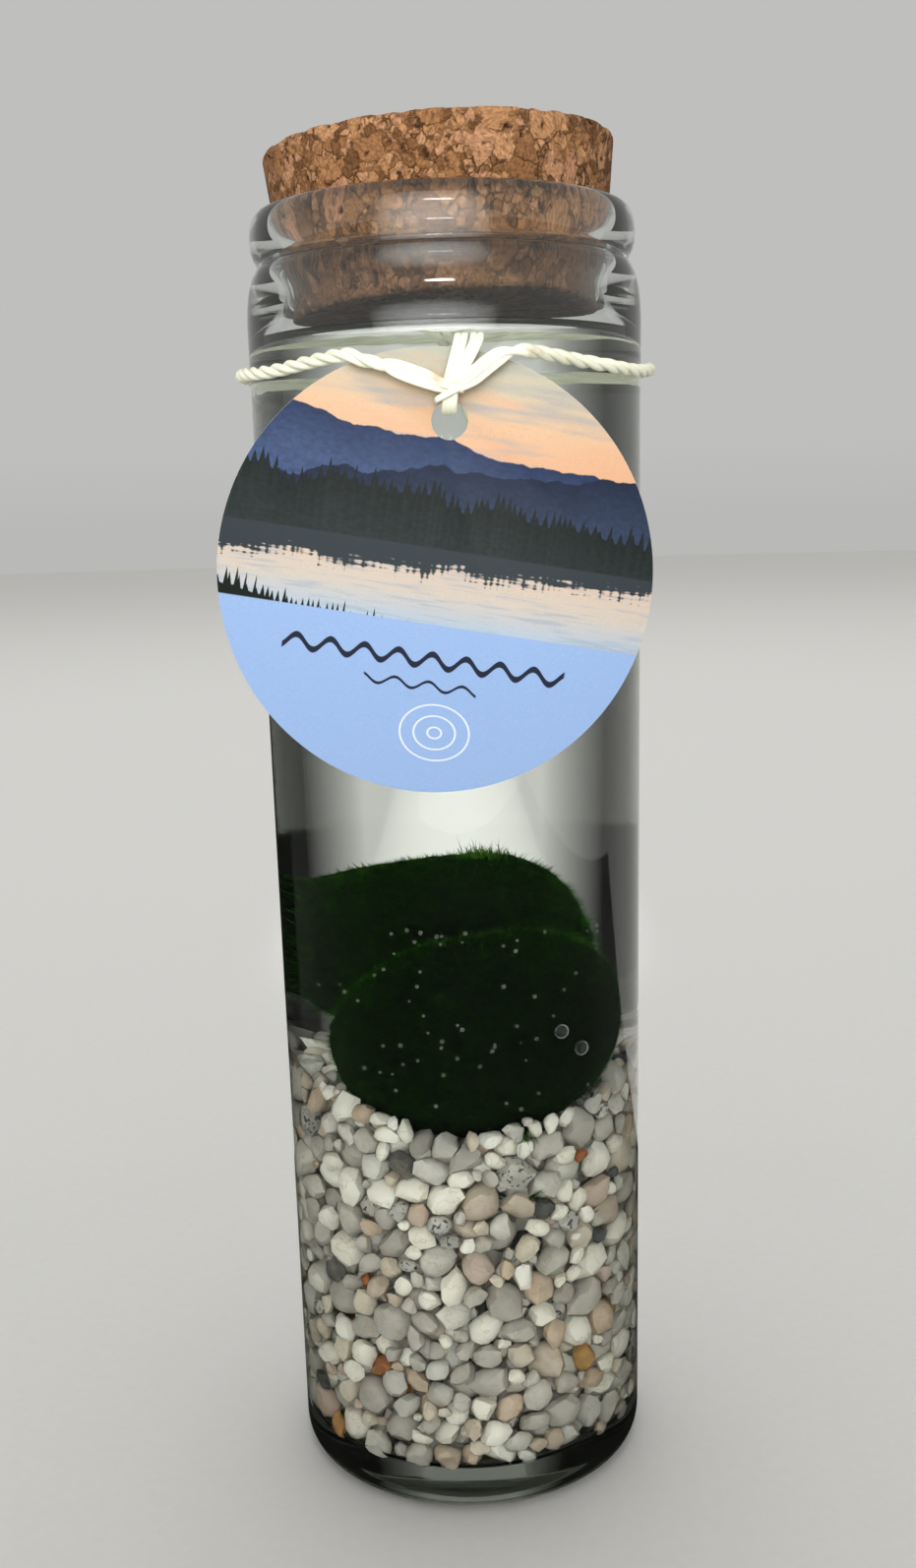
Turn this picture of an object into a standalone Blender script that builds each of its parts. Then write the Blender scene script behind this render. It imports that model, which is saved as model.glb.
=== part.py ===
"""Marimo moss balls in a corked glass jar, with gravel, water and a round hang tag on a cord.

Metres, +Z up. The origin is on the jar's axis, on the surface that the jar stands on.
The tag hangs at the front, which is -Y.
"""

import math

import bmesh
import bpy
from mathutils import Matrix, Vector, noise

OBJECT_NAME = "marimo_moss_ball_jar"

# Clearance between pieces that touch
GAP = 0.0003

# Round pieces share these steps about the axis, so that their facets line up
SEGMENTS = 40

# Glass jar
JAR_RADIUS = 0.0300
JAR_WALL = 0.0021
JAR_HEIGHT = 0.2030
FLOOR_THICKNESS = 0.0065
FLOOR_CORNER = 0.0032
HEEL_WIDTH = 0.0024
HEEL_HEIGHT = 0.0040
BORE_RADIUS = 0.0255
LIP_ROUND = 0.0008
LIP_FLAT_RADIUS = 0.0276
BEAD_RADIUS = 0.02905
BEAD_HEIGHT = 0.0034
BEAD_SWEEP = 150.0
GROOVE_RADIUS = 0.02785
GROOVE_HEIGHT = 0.1954
SHOULDER_HEIGHT = 0.1870
INNER_SHOULDER_LOW = 0.1850
INNER_SHOULDER_HIGH = 0.1960

# Cork stopper, a cone that hangs in the mouth with its right side a little higher
CORK_TOP_RADIUS = 0.0262
CORK_LOW_RADIUS = 0.0238
CORK_LENGTH = 0.0220
CORK_LOW = 0.1900
CORK_EDGE = 0.0006
CORK_TILT = 1.9

# Water and gravel
WATER_LEVEL = 0.1840
GRAVEL_LEVEL = 0.0715
GRAVEL_SIDE_TOP = 0.0600
GRAVEL_DIP = 0.0064
GRAVEL_DIP_X = -0.0020
GRAVEL_DIP_WIDTH = 0.0125
GRAVEL_DIP_DEPTH = 0.0260
# Clusters of pebbles stand out of the bed's side, and less out of its top
CLUSTER = 0.0095
CLUSTER_RELIEF = 0.0042
CLUSTER_TOP_RELIEF = 0.0018

# Moss balls: centre, half their width, depth and height with hair tips included, and how square they are:
# 2 is an ellipsoid, and a larger number is fuller at its corners. Both lie with their right side up.
FRONT_CENTRE = (0.0028, -0.0128, 0.0788)
FRONT_HALF = (0.0232, 0.0168, 0.0177)
FRONT_SQUARENESS = 2.1
BACK_CENTRE = (-0.0027, 0.0150, 0.0882)
BACK_HALF = (0.0179, 0.0142, 0.0161)
BACK_SQUARENESS = 2.7
MOSS_TURN = -12.5
MOSS_LUMP = 0.0009
MOSS_LUMP_SIZE = 0.0110
FRONT_SEED = 0.0
BACK_SEED = 7.0
# Gravel and water keep this far off the moss
MOSS_ROOM = 1.2 * GAP

# Hang tag
TAG_RADIUS = 0.0304
TAG_THICKNESS = 0.0006
TAG_X = -0.0022
TAG_Z = 0.1509
TAG_LEAN = 2.0
TAG_HOLE_RADIUS = 0.0025
TAG_HOLE_REACH = 0.0210
TAG_HOLE_TURN = 7.1

# Cord round the jar's neck
CORD_DIAMETER = 0.0019
BIGHT_DIAMETER = 0.0016
CORD_LEVEL = 0.1805
CORD_LOOP_RADIUS = JAR_RADIUS + GAP + CORD_DIAMETER / 2
CORD_POINTS = 56
BIGHT_POINTS = 20
KNOT_RADIUS = 0.0016

# The cord's way across the front, in millimetres, from the left of the jar to the right
CORD_FRONT = [
    (-31.25, 0.0, 180.8),
    (-30.7, -6.0, 180.5),
    (-29.0, -11.7, 180.2),
    (-26.5, -16.6, 179.9),
    (-23.3, -21.0, 179.9),
    (-18.6, -27.2, 180.2),
    (-13.4, -33.4, 180.4),
    (-10.6, -34.5, 179.5),
    (-6.9, -34.6, 178.5),
    (-3.0, -34.7, 177.1),
    (0.5, -34.9, 175.9),
    (3.4, -34.7, 177.0),
    (5.6, -34.5, 178.6),
    (7.8, -34.4, 179.9),
    (10.6, -33.9, 180.3),
    (14.6, -29.8, 180.0),
    (18.8, -25.2, 179.6),
    (23.3, -21.0, 179.2),
    (26.5, -16.6, 179.0),
    (29.0, -11.7, 179.2),
    (30.7, -6.0, 179.8),
    (31.25, 0.0, 180.4),
]

# The doubled strand that ties the tag: down the front, through the hole, up behind, over the edge
CORD_BIGHT = [
    (0.6, -34.7, 176.0),
    (0.5, -34.6, 174.3),
    (0.4, -33.6, 173.0),
    (0.4, -32.2, 172.8),
    (0.6, -31.15, 174.0),
    (1.4, -31.15, 177.2),
    (2.6, -31.2, 180.4),
    (3.2, -31.9, 182.2),
    (3.3, -33.1, 182.6),
    (3.0, -34.3, 181.3),
    (1.7, -34.7, 178.3),
]


def clear_scene():
    for item in list(bpy.data.objects):
        bpy.data.objects.remove(item, do_unlink=True)


def new_collection(name):
    made = bpy.data.collections.new(name)
    bpy.context.scene.collection.children.link(made)
    return made


def material(name, colour, roughness, transmission=0.0, ior=1.5):
    """A plain Principled material; colour is linear red, green and blue."""
    made = bpy.data.materials.new(name)
    made.use_nodes = True
    shader = made.node_tree.nodes["Principled BSDF"]
    shader.inputs["Base Color"].default_value = (*colour, 1.0)
    shader.inputs["Roughness"].default_value = roughness
    shader.inputs["Metallic"].default_value = 0.0
    shader.inputs["Transmission Weight"].default_value = transmission
    shader.inputs["IOR"].default_value = ior
    return made


def new_object(name, mesh, collection):
    made = bpy.data.objects.new(name, mesh)
    collection.objects.link(made)
    return made


def move_to(obj, collection):
    """Takes an object that an operator added out of its collection and into this one."""
    for old in list(obj.users_collection):
        old.objects.unlink(obj)
    collection.objects.link(obj)
    return obj


def finished_mesh(obj):
    """The object's mesh as its modifiers and its place leave it."""
    bpy.context.view_layer.update()
    graph = bpy.context.evaluated_depsgraph_get()
    mesh = bpy.data.meshes.new_from_object(obj.evaluated_get(graph))
    mesh.transform(obj.matrix_world)
    return mesh


def freeze(obj):
    """Replaces an object by a mesh object of the same name at the origin, with its modifiers applied."""
    mesh = finished_mesh(obj)
    name = obj.name
    home = obj.users_collection[0]
    bpy.data.objects.remove(obj, do_unlink=True)
    return new_object(name, mesh, home)


def shade_smooth(obj, angle=35.0):
    obj.data.shade_smooth()
    obj.data.set_sharp_from_angle(angle=math.radians(angle))


def hide_cutter(obj):
    obj.hide_render = True
    obj.display_type = "WIRE"


def cut(obj, other, operation="DIFFERENCE"):
    modifier = obj.modifiers.new(other.name, "BOOLEAN")
    modifier.operation = operation
    modifier.object = other
    modifier.solver = "EXACT"


def arc(centre_r, centre_z, half_r, half_z, start, end, steps):
    """Points of an elliptical arc in the profile plane, from start to end in degrees, 0 pointing outwards."""
    points = []
    for step in range(steps + 1):
        angle = math.radians(start + (end - start) * step / steps)
        points.append((centre_r + half_r * math.cos(angle), centre_z + half_z * math.sin(angle)))
    return points


def turned(name, profile, collection):
    """A solid of revolution about Z: the profile is (radius, height) pairs that run down the outer side."""
    mesh = bpy.data.meshes.new(name)
    edges = [(i, i + 1) for i in range(len(profile) - 1)]
    mesh.from_pydata([(radius, 0.0, height) for radius, height in profile], edges, [])
    made = new_object(name, mesh, collection)
    screw = made.modifiers.new("turn", "SCREW")
    screw.steps = SEGMENTS
    screw.render_steps = SEGMENTS
    screw.use_merge_vertices = True
    screw.merge_threshold = 0.00005
    return freeze(made)


def jar_profile():
    inner = JAR_RADIUS - JAR_WALL
    corner = inner - FLOOR_CORNER
    points = [(0.0, FLOOR_THICKNESS)]
    points += arc(corner, FLOOR_THICKNESS + FLOOR_CORNER, FLOOR_CORNER, FLOOR_CORNER, -90, 0, 4)
    rise = INNER_SHOULDER_HIGH - INNER_SHOULDER_LOW
    for step in range(6):
        share = step / 5
        narrowing = (inner - BORE_RADIUS) * (1 - math.cos(math.pi * share)) / 2
        points.append((inner - narrowing, INNER_SHOULDER_LOW + rise * share))
    lip = BORE_RADIUS + LIP_ROUND
    points += arc(lip, JAR_HEIGHT - LIP_ROUND, LIP_ROUND, LIP_ROUND, 180, 90, 2)
    bead_width = BEAD_RADIUS - LIP_FLAT_RADIUS
    points += arc(LIP_FLAT_RADIUS, JAR_HEIGHT - BEAD_HEIGHT, bead_width, BEAD_HEIGHT, 90, 90 - BEAD_SWEEP, 6)
    shoulder_width = JAR_RADIUS - GROOVE_RADIUS
    shoulder_rise = GROOVE_HEIGHT - SHOULDER_HEIGHT
    points += arc(GROOVE_RADIUS, SHOULDER_HEIGHT, shoulder_width, shoulder_rise, 90, 0, 4)
    points += arc(JAR_RADIUS - HEEL_WIDTH, HEEL_HEIGHT, HEEL_WIDTH, HEEL_HEIGHT, 0, -90, 4)
    points.append((0.0, 0.0))
    return points


def make_jar(parts, glass):
    jar = turned("glass_jar", jar_profile(), parts)
    jar.data.materials.append(glass)
    shade_smooth(jar)
    return jar


def make_cork(parts, cork_material):
    bpy.ops.mesh.primitive_cone_add(
        vertices=SEGMENTS, radius1=CORK_LOW_RADIUS, radius2=CORK_TOP_RADIUS, depth=CORK_LENGTH
    )
    cork = move_to(bpy.context.object, parts)
    cork.name = "cork_stopper"
    # The cork turns about the point where it meets the lip
    cork.data.transform(Matrix.Translation((0, 0, CORK_LOW + CORK_LENGTH / 2 - JAR_HEIGHT)))
    cork.location = (0, 0, JAR_HEIGHT)
    cork.rotation_euler = (0, math.radians(-CORK_TILT), 0)
    edge = cork.modifiers.new("edge", "BEVEL")
    edge.width = CORK_EDGE
    edge.segments = 2
    edge.limit_method = "ANGLE"
    cork.data.materials.append(cork_material)
    shade_smooth(cork)
    return cork


def bed_height(x, y):
    """Height of the gravel's top: level, with a dip at the front glass where the lower ball presses."""
    across = math.exp(-(((x - GRAVEL_DIP_X) / GRAVEL_DIP_WIDTH) ** 2))
    depth = max(0.0, min(1.0, 1 - (y + JAR_RADIUS) / GRAVEL_DIP_DEPTH))
    return GRAVEL_LEVEL - GRAVEL_DIP * across * depth**0.5


def hollow(point):
    """How far this point is from the middle of its cluster of pebbles, from 0 there to 1 between clusters."""
    distances, _ = noise.voronoi(Vector(point) / CLUSTER)
    return min(1.0, (distances[0] / 0.6) ** 2)


def bed_top(x, y):
    return bed_height(x, y) - CLUSTER_TOP_RELIEF * hollow((x, y, GRAVEL_LEVEL))


def top_rings(outer):
    """Radii of the rings that carry the gravel's top, and the water's underside, from the rim inwards."""
    rings = 7
    return [outer * (rings - ring) / rings for ring in range(rings)]


def split_quads(obj):
    """Splits each four-sided face along its higher diagonal, so that gravel and water fold alike."""
    shape = bmesh.new()
    shape.from_mesh(obj.data)
    for face in list(shape.faces):
        if len(face.verts) != 4:
            continue
        a, b, c, d = face.verts
        if a.co.z + c.co.z >= b.co.z + d.co.z:
            bmesh.utils.face_split(face, a, c)
        else:
            bmesh.utils.face_split(face, b, d)
    shape.to_mesh(obj.data)
    shape.free()


def make_gravel(parts, stone):
    outer = JAR_RADIUS - JAR_WALL - GAP
    side_rings = 11
    corner_z = FLOOR_THICKNESS + FLOOR_CORNER
    corner = FLOOR_CORNER - GAP
    profile = [(0.0, GRAVEL_LEVEL)]
    profile += [(radius, GRAVEL_LEVEL) for radius in reversed(top_rings(outer))]
    for ring in range(side_rings):
        profile.append((outer, GRAVEL_SIDE_TOP - (GRAVEL_SIDE_TOP - corner_z) * ring / side_rings))
    profile += arc(outer - corner, corner_z, corner, corner, 0, -90, 3)
    profile.append((0.0, FLOOR_THICKNESS + GAP))
    bed = turned("gravel_bed", profile, parts)
    for vertex in bed.data.vertices:
        x, y, z = vertex.co
        if z > GRAVEL_SIDE_TOP + GAP:
            vertex.co.z = bed_top(x, y)
        elif z > corner_z - GAP:
            radius = math.hypot(x, y)
            shrink = 1 - CLUSTER_RELIEF * hollow((x, y, z)) / radius
            vertex.co.x *= shrink
            vertex.co.y *= shrink
    split_quads(bed)
    bed.data.materials.append(stone)
    shade_smooth(bed)
    return bed


def make_water(parts, water_material):
    outer = JAR_RADIUS - JAR_WALL - GAP
    profile = [(0.0, WATER_LEVEL), (outer, WATER_LEVEL)]
    profile += [(radius, GRAVEL_LEVEL) for radius in top_rings(outer)]
    profile.append((0.0, GRAVEL_LEVEL))
    water = turned("water", profile, parts)
    for vertex in water.data.vertices:
        if vertex.co.z < WATER_LEVEL - GAP:
            vertex.co.z = bed_top(vertex.co.x, vertex.co.y) + GAP
    split_quads(water)
    water.data.materials.append(water_material)
    shade_smooth(water)
    return water


def moss_lump(direction, seed):
    """How far the ball stands in or out in this direction, as a length."""
    return MOSS_LUMP * (noise.noise(direction * (0.018 / MOSS_LUMP_SIZE) + Vector((seed, 0, 0))) - 0.35)


def moss_form(name, centre, half, squareness, seed, grow, collection):
    """A ball of moss: a sphere squared and flattened to its half sizes, a little lumpy, and grown by grow."""
    bpy.ops.mesh.primitive_uv_sphere_add(segments=24, ring_count=14, radius=1.0)
    ball = move_to(bpy.context.object, collection)
    ball.name = name
    turn = Matrix.Rotation(math.radians(MOSS_TURN), 3, "Y")
    for vertex in ball.data.vertices:
        direction = vertex.co.normalized()
        fullness = sum(abs(part) ** squareness for part in direction) ** (-1 / squareness)
        lump = moss_lump(direction, seed) + grow
        reach = Vector(part * fullness * (size + lump) for part, size in zip(direction, half))
        vertex.co = Vector(centre) + turn @ reach
    return ball


def make_moss(parts, cutters, moss_material):
    """Two balls pressed on each other and on the glass, and the grown forms that clear room for them."""
    front_size = (FRONT_CENTRE, FRONT_HALF, FRONT_SQUARENESS, FRONT_SEED)
    back_size = (BACK_CENTRE, BACK_HALF, BACK_SQUARENESS, BACK_SEED)
    front = moss_form("moss_ball_front", *front_size, 0.0, parts)
    back = moss_form("moss_ball_back", *back_size, 0.0, parts)
    front_room = moss_form("front_ball_room", *front_size, MOSS_ROOM, cutters)
    back_room = moss_form("back_ball_room", *back_size, MOSS_ROOM, cutters)
    bpy.ops.mesh.primitive_cylinder_add(
        vertices=SEGMENTS, radius=JAR_RADIUS - JAR_WALL - GAP, depth=0.08, location=(0, 0, 0.09)
    )
    bore = move_to(bpy.context.object, cutters)
    bore.name = "jar_bore"
    for cutter in (front_room, back_room, bore):
        hide_cutter(cutter)
    cut(back, front_room)
    for ball in (front, back):
        cut(ball, bore, "INTERSECT")
        ball.data.materials.append(moss_material)
        shade_smooth(ball, 60.0)
    return front_room, back_room


def make_tag(parts, cutters, card):
    lean = Matrix.Rotation(math.radians(TAG_LEAN), 4, "X")
    back_at_foot = -(JAR_RADIUS + GAP)
    centre_y = back_at_foot - TAG_THICKNESS / 2 - TAG_RADIUS * math.sin(math.radians(TAG_LEAN))
    place = Matrix.Translation((TAG_X, centre_y, TAG_Z)) @ lean
    face_front = Matrix.Rotation(math.radians(90), 4, "X")
    bpy.ops.mesh.primitive_cylinder_add(vertices=64, radius=TAG_RADIUS, depth=TAG_THICKNESS)
    tag = move_to(bpy.context.object, parts)
    tag.name = "hang_tag"
    tag.data.transform(place @ face_front)
    turn = math.radians(TAG_HOLE_TURN)
    hole_at = Matrix.Translation((TAG_HOLE_REACH * math.sin(turn), 0, TAG_HOLE_REACH * math.cos(turn)))
    bpy.ops.mesh.primitive_cylinder_add(vertices=20, radius=TAG_HOLE_RADIUS, depth=4 * TAG_THICKNESS)
    hole = move_to(bpy.context.object, cutters)
    hole.name = "tag_hole"
    hole.data.transform(place @ hole_at @ face_front)
    hide_cutter(hole)
    cut(tag, hole)
    tag.data.materials.append(card)
    shade_smooth(tag)
    return tag


def smooth_loop(route, count):
    """Points at even steps along a closed smooth curve through the route."""
    dense = []
    size = len(route)
    for index in range(size):
        before, start, end, after = (Vector(route[(index + k) % size]) for k in (-1, 0, 1, 2))
        for step in range(12):
            t = step / 12
            bend = (2 * before - 5 * start + 4 * end - after) * t * t
            twist = (3 * start - before - 3 * end + after) * t**3
            dense.append(start + ((end - before) * t + bend + twist) / 2)
    dense.append(dense[0])
    lengths = [0.0]
    for a, b in zip(dense, dense[1:]):
        lengths.append(lengths[-1] + (b - a).length)
    points = []
    segment = 0
    for index in range(count):
        target = lengths[-1] * index / count
        while lengths[segment + 1] < target:
            segment += 1
        share = (target - lengths[segment]) / (lengths[segment + 1] - lengths[segment])
        points.append(dense[segment].lerp(dense[segment + 1], share))
    return points


def loop_tube(name, points, diameter, collection):
    """A closed ring of cord as a mesh."""
    curve = bpy.data.curves.new(name, "CURVE")
    curve.dimensions = "3D"
    curve.bevel_depth = diameter / 2
    curve.bevel_resolution = 2
    spline = curve.splines.new("POLY")
    spline.points.add(len(points) - 1)
    for slot, point in zip(spline.points, points):
        slot.co = (*point, 1.0)
    spline.use_cyclic_u = True
    return freeze(new_object(name, curve, collection))


def cord_route():
    """The whole loop in metres: the hand-laid front, then even steps round the back of the jar."""
    route = [Vector(point) / 1000 for point in CORD_FRONT]
    right_z = route[-1].z
    left_z = route[0].z
    steps = 14
    for step in range(1, steps):
        angle = math.pi * step / steps
        level = right_z + (left_z - right_z) * step / steps
        route.append(Vector((CORD_LOOP_RADIUS * math.cos(angle), CORD_LOOP_RADIUS * math.sin(angle), level)))
    return route


def make_cord(parts, cutters, fibre):
    cord = loop_tube("tag_cord", smooth_loop(cord_route(), CORD_POINTS), CORD_DIAMETER, parts)
    bight_route = [Vector(point) / 1000 for point in CORD_BIGHT]
    bight = loop_tube("cord_bight", smooth_loop(bight_route, BIGHT_POINTS), BIGHT_DIAMETER, cutters)
    bpy.ops.mesh.primitive_uv_sphere_add(segments=10, ring_count=6, radius=KNOT_RADIUS)
    knot = move_to(bpy.context.object, cutters)
    knot.name = "cord_knot"
    knot_y = JAR_RADIUS + GAP + KNOT_RADIUS
    knot.data.transform(Matrix.Translation((0, knot_y, CORD_LEVEL)))
    for lump in (bight, knot):
        hide_cutter(lump)
        cut(cord, lump, "UNION")
    cord.data.materials.append(fibre)
    shade_smooth(cord, 60.0)
    return cord


def main():
    clear_scene()
    parts = new_collection(OBJECT_NAME)
    cutters = new_collection(OBJECT_NAME + "_cutters")

    glass = material("clear_glass", (0.93, 0.97, 0.95), 0.02, transmission=1.0, ior=1.52)
    water_material = material("clear_water", (0.97, 1.0, 0.98), 0.0, transmission=1.0, ior=1.333)
    cork_material = material("pressed_cork", (0.45, 0.24, 0.12), 0.85)
    stone = material("quartz_gravel", (0.55, 0.53, 0.48), 0.45)
    moss_material = material("marimo_moss", (0.010, 0.040, 0.008), 0.95)
    card = material("printed_card", (0.30, 0.42, 0.80), 0.40)
    fibre = material("paper_cord", (0.80, 0.79, 0.70), 0.75)

    make_jar(parts, glass)
    make_cork(parts, cork_material)
    bed = make_gravel(parts, stone)
    water = make_water(parts, water_material)
    for room in make_moss(parts, cutters, moss_material):
        cut(bed, room)
        cut(water, room)
    make_tag(parts, cutters, card)
    make_cord(parts, cutters, fibre)


main()
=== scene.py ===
"""Looks of marimo moss balls in a corked glass jar, with water, quartz gravel and a round card tag on a cord.

Metres, +Z up, the tag at the front, which is -Y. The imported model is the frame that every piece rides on.
"""

import math
from collections import namedtuple

import bpy
import numpy as np
from bpy.props import FloatProperty, FloatVectorProperty, IntProperty, PointerProperty
from mathutils import Matrix, Vector, noise


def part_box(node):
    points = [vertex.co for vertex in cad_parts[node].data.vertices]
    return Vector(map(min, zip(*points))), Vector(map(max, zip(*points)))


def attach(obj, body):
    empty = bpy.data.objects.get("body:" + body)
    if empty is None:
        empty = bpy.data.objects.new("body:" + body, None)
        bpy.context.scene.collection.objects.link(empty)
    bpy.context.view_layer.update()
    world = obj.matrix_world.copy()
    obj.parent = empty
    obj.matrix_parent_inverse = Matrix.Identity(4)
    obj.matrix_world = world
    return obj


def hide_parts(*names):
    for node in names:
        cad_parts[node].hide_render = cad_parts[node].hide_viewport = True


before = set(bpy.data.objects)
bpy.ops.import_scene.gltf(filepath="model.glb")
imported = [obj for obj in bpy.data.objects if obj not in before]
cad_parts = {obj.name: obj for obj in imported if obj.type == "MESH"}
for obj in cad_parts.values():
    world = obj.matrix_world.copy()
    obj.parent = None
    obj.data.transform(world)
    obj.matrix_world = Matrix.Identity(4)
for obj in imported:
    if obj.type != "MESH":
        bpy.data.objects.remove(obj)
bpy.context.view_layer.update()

bl_info = {
    "name": "Marimo moss ball jar",
    "version": (1, 0, 0),
    "blender": (4, 5, 0),
    "location": "View3D > Sidebar > Marimo jar",
    "description": "Builds marimo moss balls in a corked jar with water, gravel and a card tag on a cord",
    "category": "Add Mesh",
}

MM = 0.001

# Settings of a Mix node that lays one colour over another, and of one that multiplies them
LAID_OVER = {"data_type": "RGBA", "blend_type": "MIX"}
MULTIPLIED = {"data_type": "RGBA", "blend_type": "MULTIPLY"}

# The jar, from the frame and from the wall's own sizes
JAR_RADIUS = (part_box("glass_jar")[1].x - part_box("glass_jar")[0].x) / 2
JAR_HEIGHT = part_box("glass_jar")[1].z
JAR_WALL = 0.0021
JAR_INNER = JAR_RADIUS - JAR_WALL
FLOOR_THICKNESS = 0.0065
FLOOR_CORNER = 0.0032
HEEL_WIDTH = 0.0024
HEEL_HEIGHT = 0.0040
PUNT_DEPTH = 0.0007
BORE_RADIUS = 0.0255
LIP_ROUND = 0.0008
LIP_FLAT_RADIUS = 0.0276
BEAD_RADIUS = 0.02905
BEAD_HEIGHT = 0.0034
BEAD_SWEEP = 150.0
GROOVE_RADIUS = 0.02785
GROOVE_HEIGHT = 0.1954
SHOULDER_HEIGHT = 0.1870
INNER_SHOULDER_LOW = 0.1850
INNER_SHOULDER_HIGH = 0.1960

# Water that wets the glass: it runs this far into the wall, so that no air shows between them
WATER_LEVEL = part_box("water")[1].z
WETTING = 0.00015
MENISCUS_RISE = 0.0013
MENISCUS_REACH = 0.0015
WET_GLEAM = 0.05

# Cork stopper
CORK_TOP_RADIUS = 0.0262
CORK_LOW_RADIUS = 0.0238
CORK_LENGTH = 0.0220
CORK_LOW = 0.1900
CORK_TILT = 1.9
PORE_DEPTH = 0.0004
CHIP_DEPTH = 0.00025

# Gravel bed
GRAVEL_LEVEL = 0.0715
GRAVEL_DIP = 0.0064
GRAVEL_DIP_X = -0.0020
GRAVEL_DIP_WIDTH = 0.0125
GRAVEL_DIP_DEPTH = 0.0260
# A lone pebble's reach over its packing radius
OWN_REACH = 1.3

# Moss balls: centre, half their width, depth and height with hair tips included, how square they are,
# where 2 is an ellipsoid, and a seed. Both lie with their right side up.
Ball = namedtuple("Ball", "centre half squareness seed")
FRONT = Ball(np.array((0.0028, -0.0128, 0.0788)), np.array((0.0232, 0.0168, 0.0177)), 2.1, 0.0)
BACK = Ball(np.array((-0.0027, 0.0150, 0.0882)), np.array((0.0179, 0.0142, 0.0161)), 2.7, 7.0)
MOSS_TURN = np.array(Matrix.Rotation(math.radians(-12.5), 3, "Y"))
MOSS_LUMP = 0.0009
MOSS_LUMP_SIZE = 0.0110

# Loose moss: middle, spread, way and length in millimetres, and how many threads
LOOSE_MOSS = (
    ((9.0, -25.4, 66.6), (0.8, 0.4, 0.9), (0.1, -0.1, -1.0), 3.6, 90),
    ((2.6, 14.0, 102.0), (3.4, 3.0, 1.4), (0.0, 0.0, 1.0), 2.4, 900),
    ((9.6, -25.9, 54.3), (2.2, 0.2, 0.9), (1.0, 0.0, 0.2), 2.8, 30),
    ((-2.5, -27.2, 48.4), (1.3, 0.2, 0.7), (1.0, 0.0, -0.5), 2.4, 16),
)

# Two large bubbles between the front ball and the glass: the angle about the jar's axis, height and radius
LARGE_BUBBLES = ((math.radians(33.7), 0.0809, 0.00115), (math.radians(42.0), 0.0773, 0.0012))
SMALL_BUBBLE = 0.0005

# Hang tag
TAG_RADIUS = 0.0304
TAG_THICKNESS = 0.0006
TAG_X = -0.0022
TAG_Z = 0.1509
TAG_LEAN = 2.0
TAG_HOLE_RADIUS = 0.0025
TAG_HOLE_REACH = 0.0210
TAG_HOLE_TURN = 7.1

# Cord round the jar's neck
CORD_DIAMETER = 0.0019
CORD_GAP = 0.0003
CORD_LOOP_RADIUS = JAR_RADIUS + CORD_GAP + CORD_DIAMETER / 2
CORD_LEVEL = 0.1805
KNOT_X = 0.0005
KNOT_REACH = 0.0022
# Half the width over which the strands lie flat across the tag
OPEN_REACH = 0.0085
STRAND_OFF_AXIS = 0.00046
STRAND_SPACING = 0.00082
STRAND_HALF = np.array((0.00052, 0.00046))
FLAT_STRAND_HALF = np.array((0.00046, 0.00028))

# The cord's way across the front, in millimetres, from the left of the jar to the right
CORD_FRONT = [
    (-31.25, 0.0, 180.8),
    (-30.7, -6.0, 180.5),
    (-29.0, -11.7, 180.2),
    (-26.5, -16.6, 179.9),
    (-23.3, -21.0, 179.9),
    (-18.6, -27.2, 180.2),
    (-13.4, -33.4, 180.4),
    (-10.6, -34.5, 179.5),
    (-6.9, -34.6, 178.5),
    (-3.0, -34.7, 177.1),
    (0.5, -34.9, 175.9),
    (3.4, -34.7, 177.0),
    (5.6, -34.5, 178.6),
    (7.8, -34.4, 179.9),
    (10.6, -33.9, 180.3),
    (14.6, -29.8, 180.0),
    (18.8, -25.2, 179.6),
    (23.3, -21.0, 179.2),
    (26.5, -16.6, 179.0),
    (29.0, -11.7, 179.2),
    (30.7, -6.0, 179.8),
    (31.25, 0.0, 180.4),
]

# The doubled strand that ties the tag: down the front, through the hole, up behind, over the edge
CORD_BIGHT = [
    (0.6, -34.7, 176.0),
    (0.5, -34.6, 174.3),
    (0.4, -33.6, 173.0),
    (0.4, -32.2, 172.8),
    (0.6, -31.15, 174.0),
    (1.4, -31.15, 177.2),
    (2.6, -31.2, 180.4),
    (3.2, -31.9, 182.2),
    (3.3, -33.1, 182.6),
    (3.0, -34.3, 181.3),
    (1.7, -34.7, 178.3),
]

# Stage: the floor's height, and the dark cards, which stand this far to each side and reach from near to far
FLOOR_LEVEL = -0.0001
CARD_X = 0.07
CARD_HEIGHT = 0.22
CARD_NEAR = 0.03
CARD_FAR = {"flag_left": 0.42, "flag_right": 0.38}
# A card on the floor lies a hair above it
CARD_LIFT = 0.00005


def linear(hex_colour):
    """An sRGB hex colour as linear red, green, blue and a full alpha."""
    shares = [int(hex_colour[start:start + 2], 16) / 255 for start in (1, 3, 5)]
    return (*(s / 12.92 if s <= 0.04045 else ((s + 0.055) / 1.055) ** 2.4 for s in shares), 1.0)


def add_node(tree, kind, inputs=(), stops=(), output=0, **settings):
    """Adds a node and gives one of its outputs. Inputs are values or outputs to link, by name or in order."""
    node = tree.nodes.new("ShaderNode" + kind)
    for name, value in settings.items():
        setattr(node, name, value)
    in_order = [socket for socket in node.inputs if socket.enabled]
    for key, value in inputs.items() if isinstance(inputs, dict) else enumerate(inputs):
        socket = node.inputs[key] if isinstance(key, str) else in_order[key]
        if isinstance(value, bpy.types.NodeSocket):
            tree.links.new(value, socket)
        else:
            socket.default_value = value
    for index, (place, hex_colour) in enumerate(stops):
        elements = node.color_ramp.elements
        stop = elements[index] if index < len(elements) else elements.new(place)
        stop.position = place
        stop.color = linear(hex_colour)
    outputs = [socket for socket in node.outputs if socket.enabled]
    return node.outputs[output] if isinstance(output, str) else outputs[output]


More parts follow.
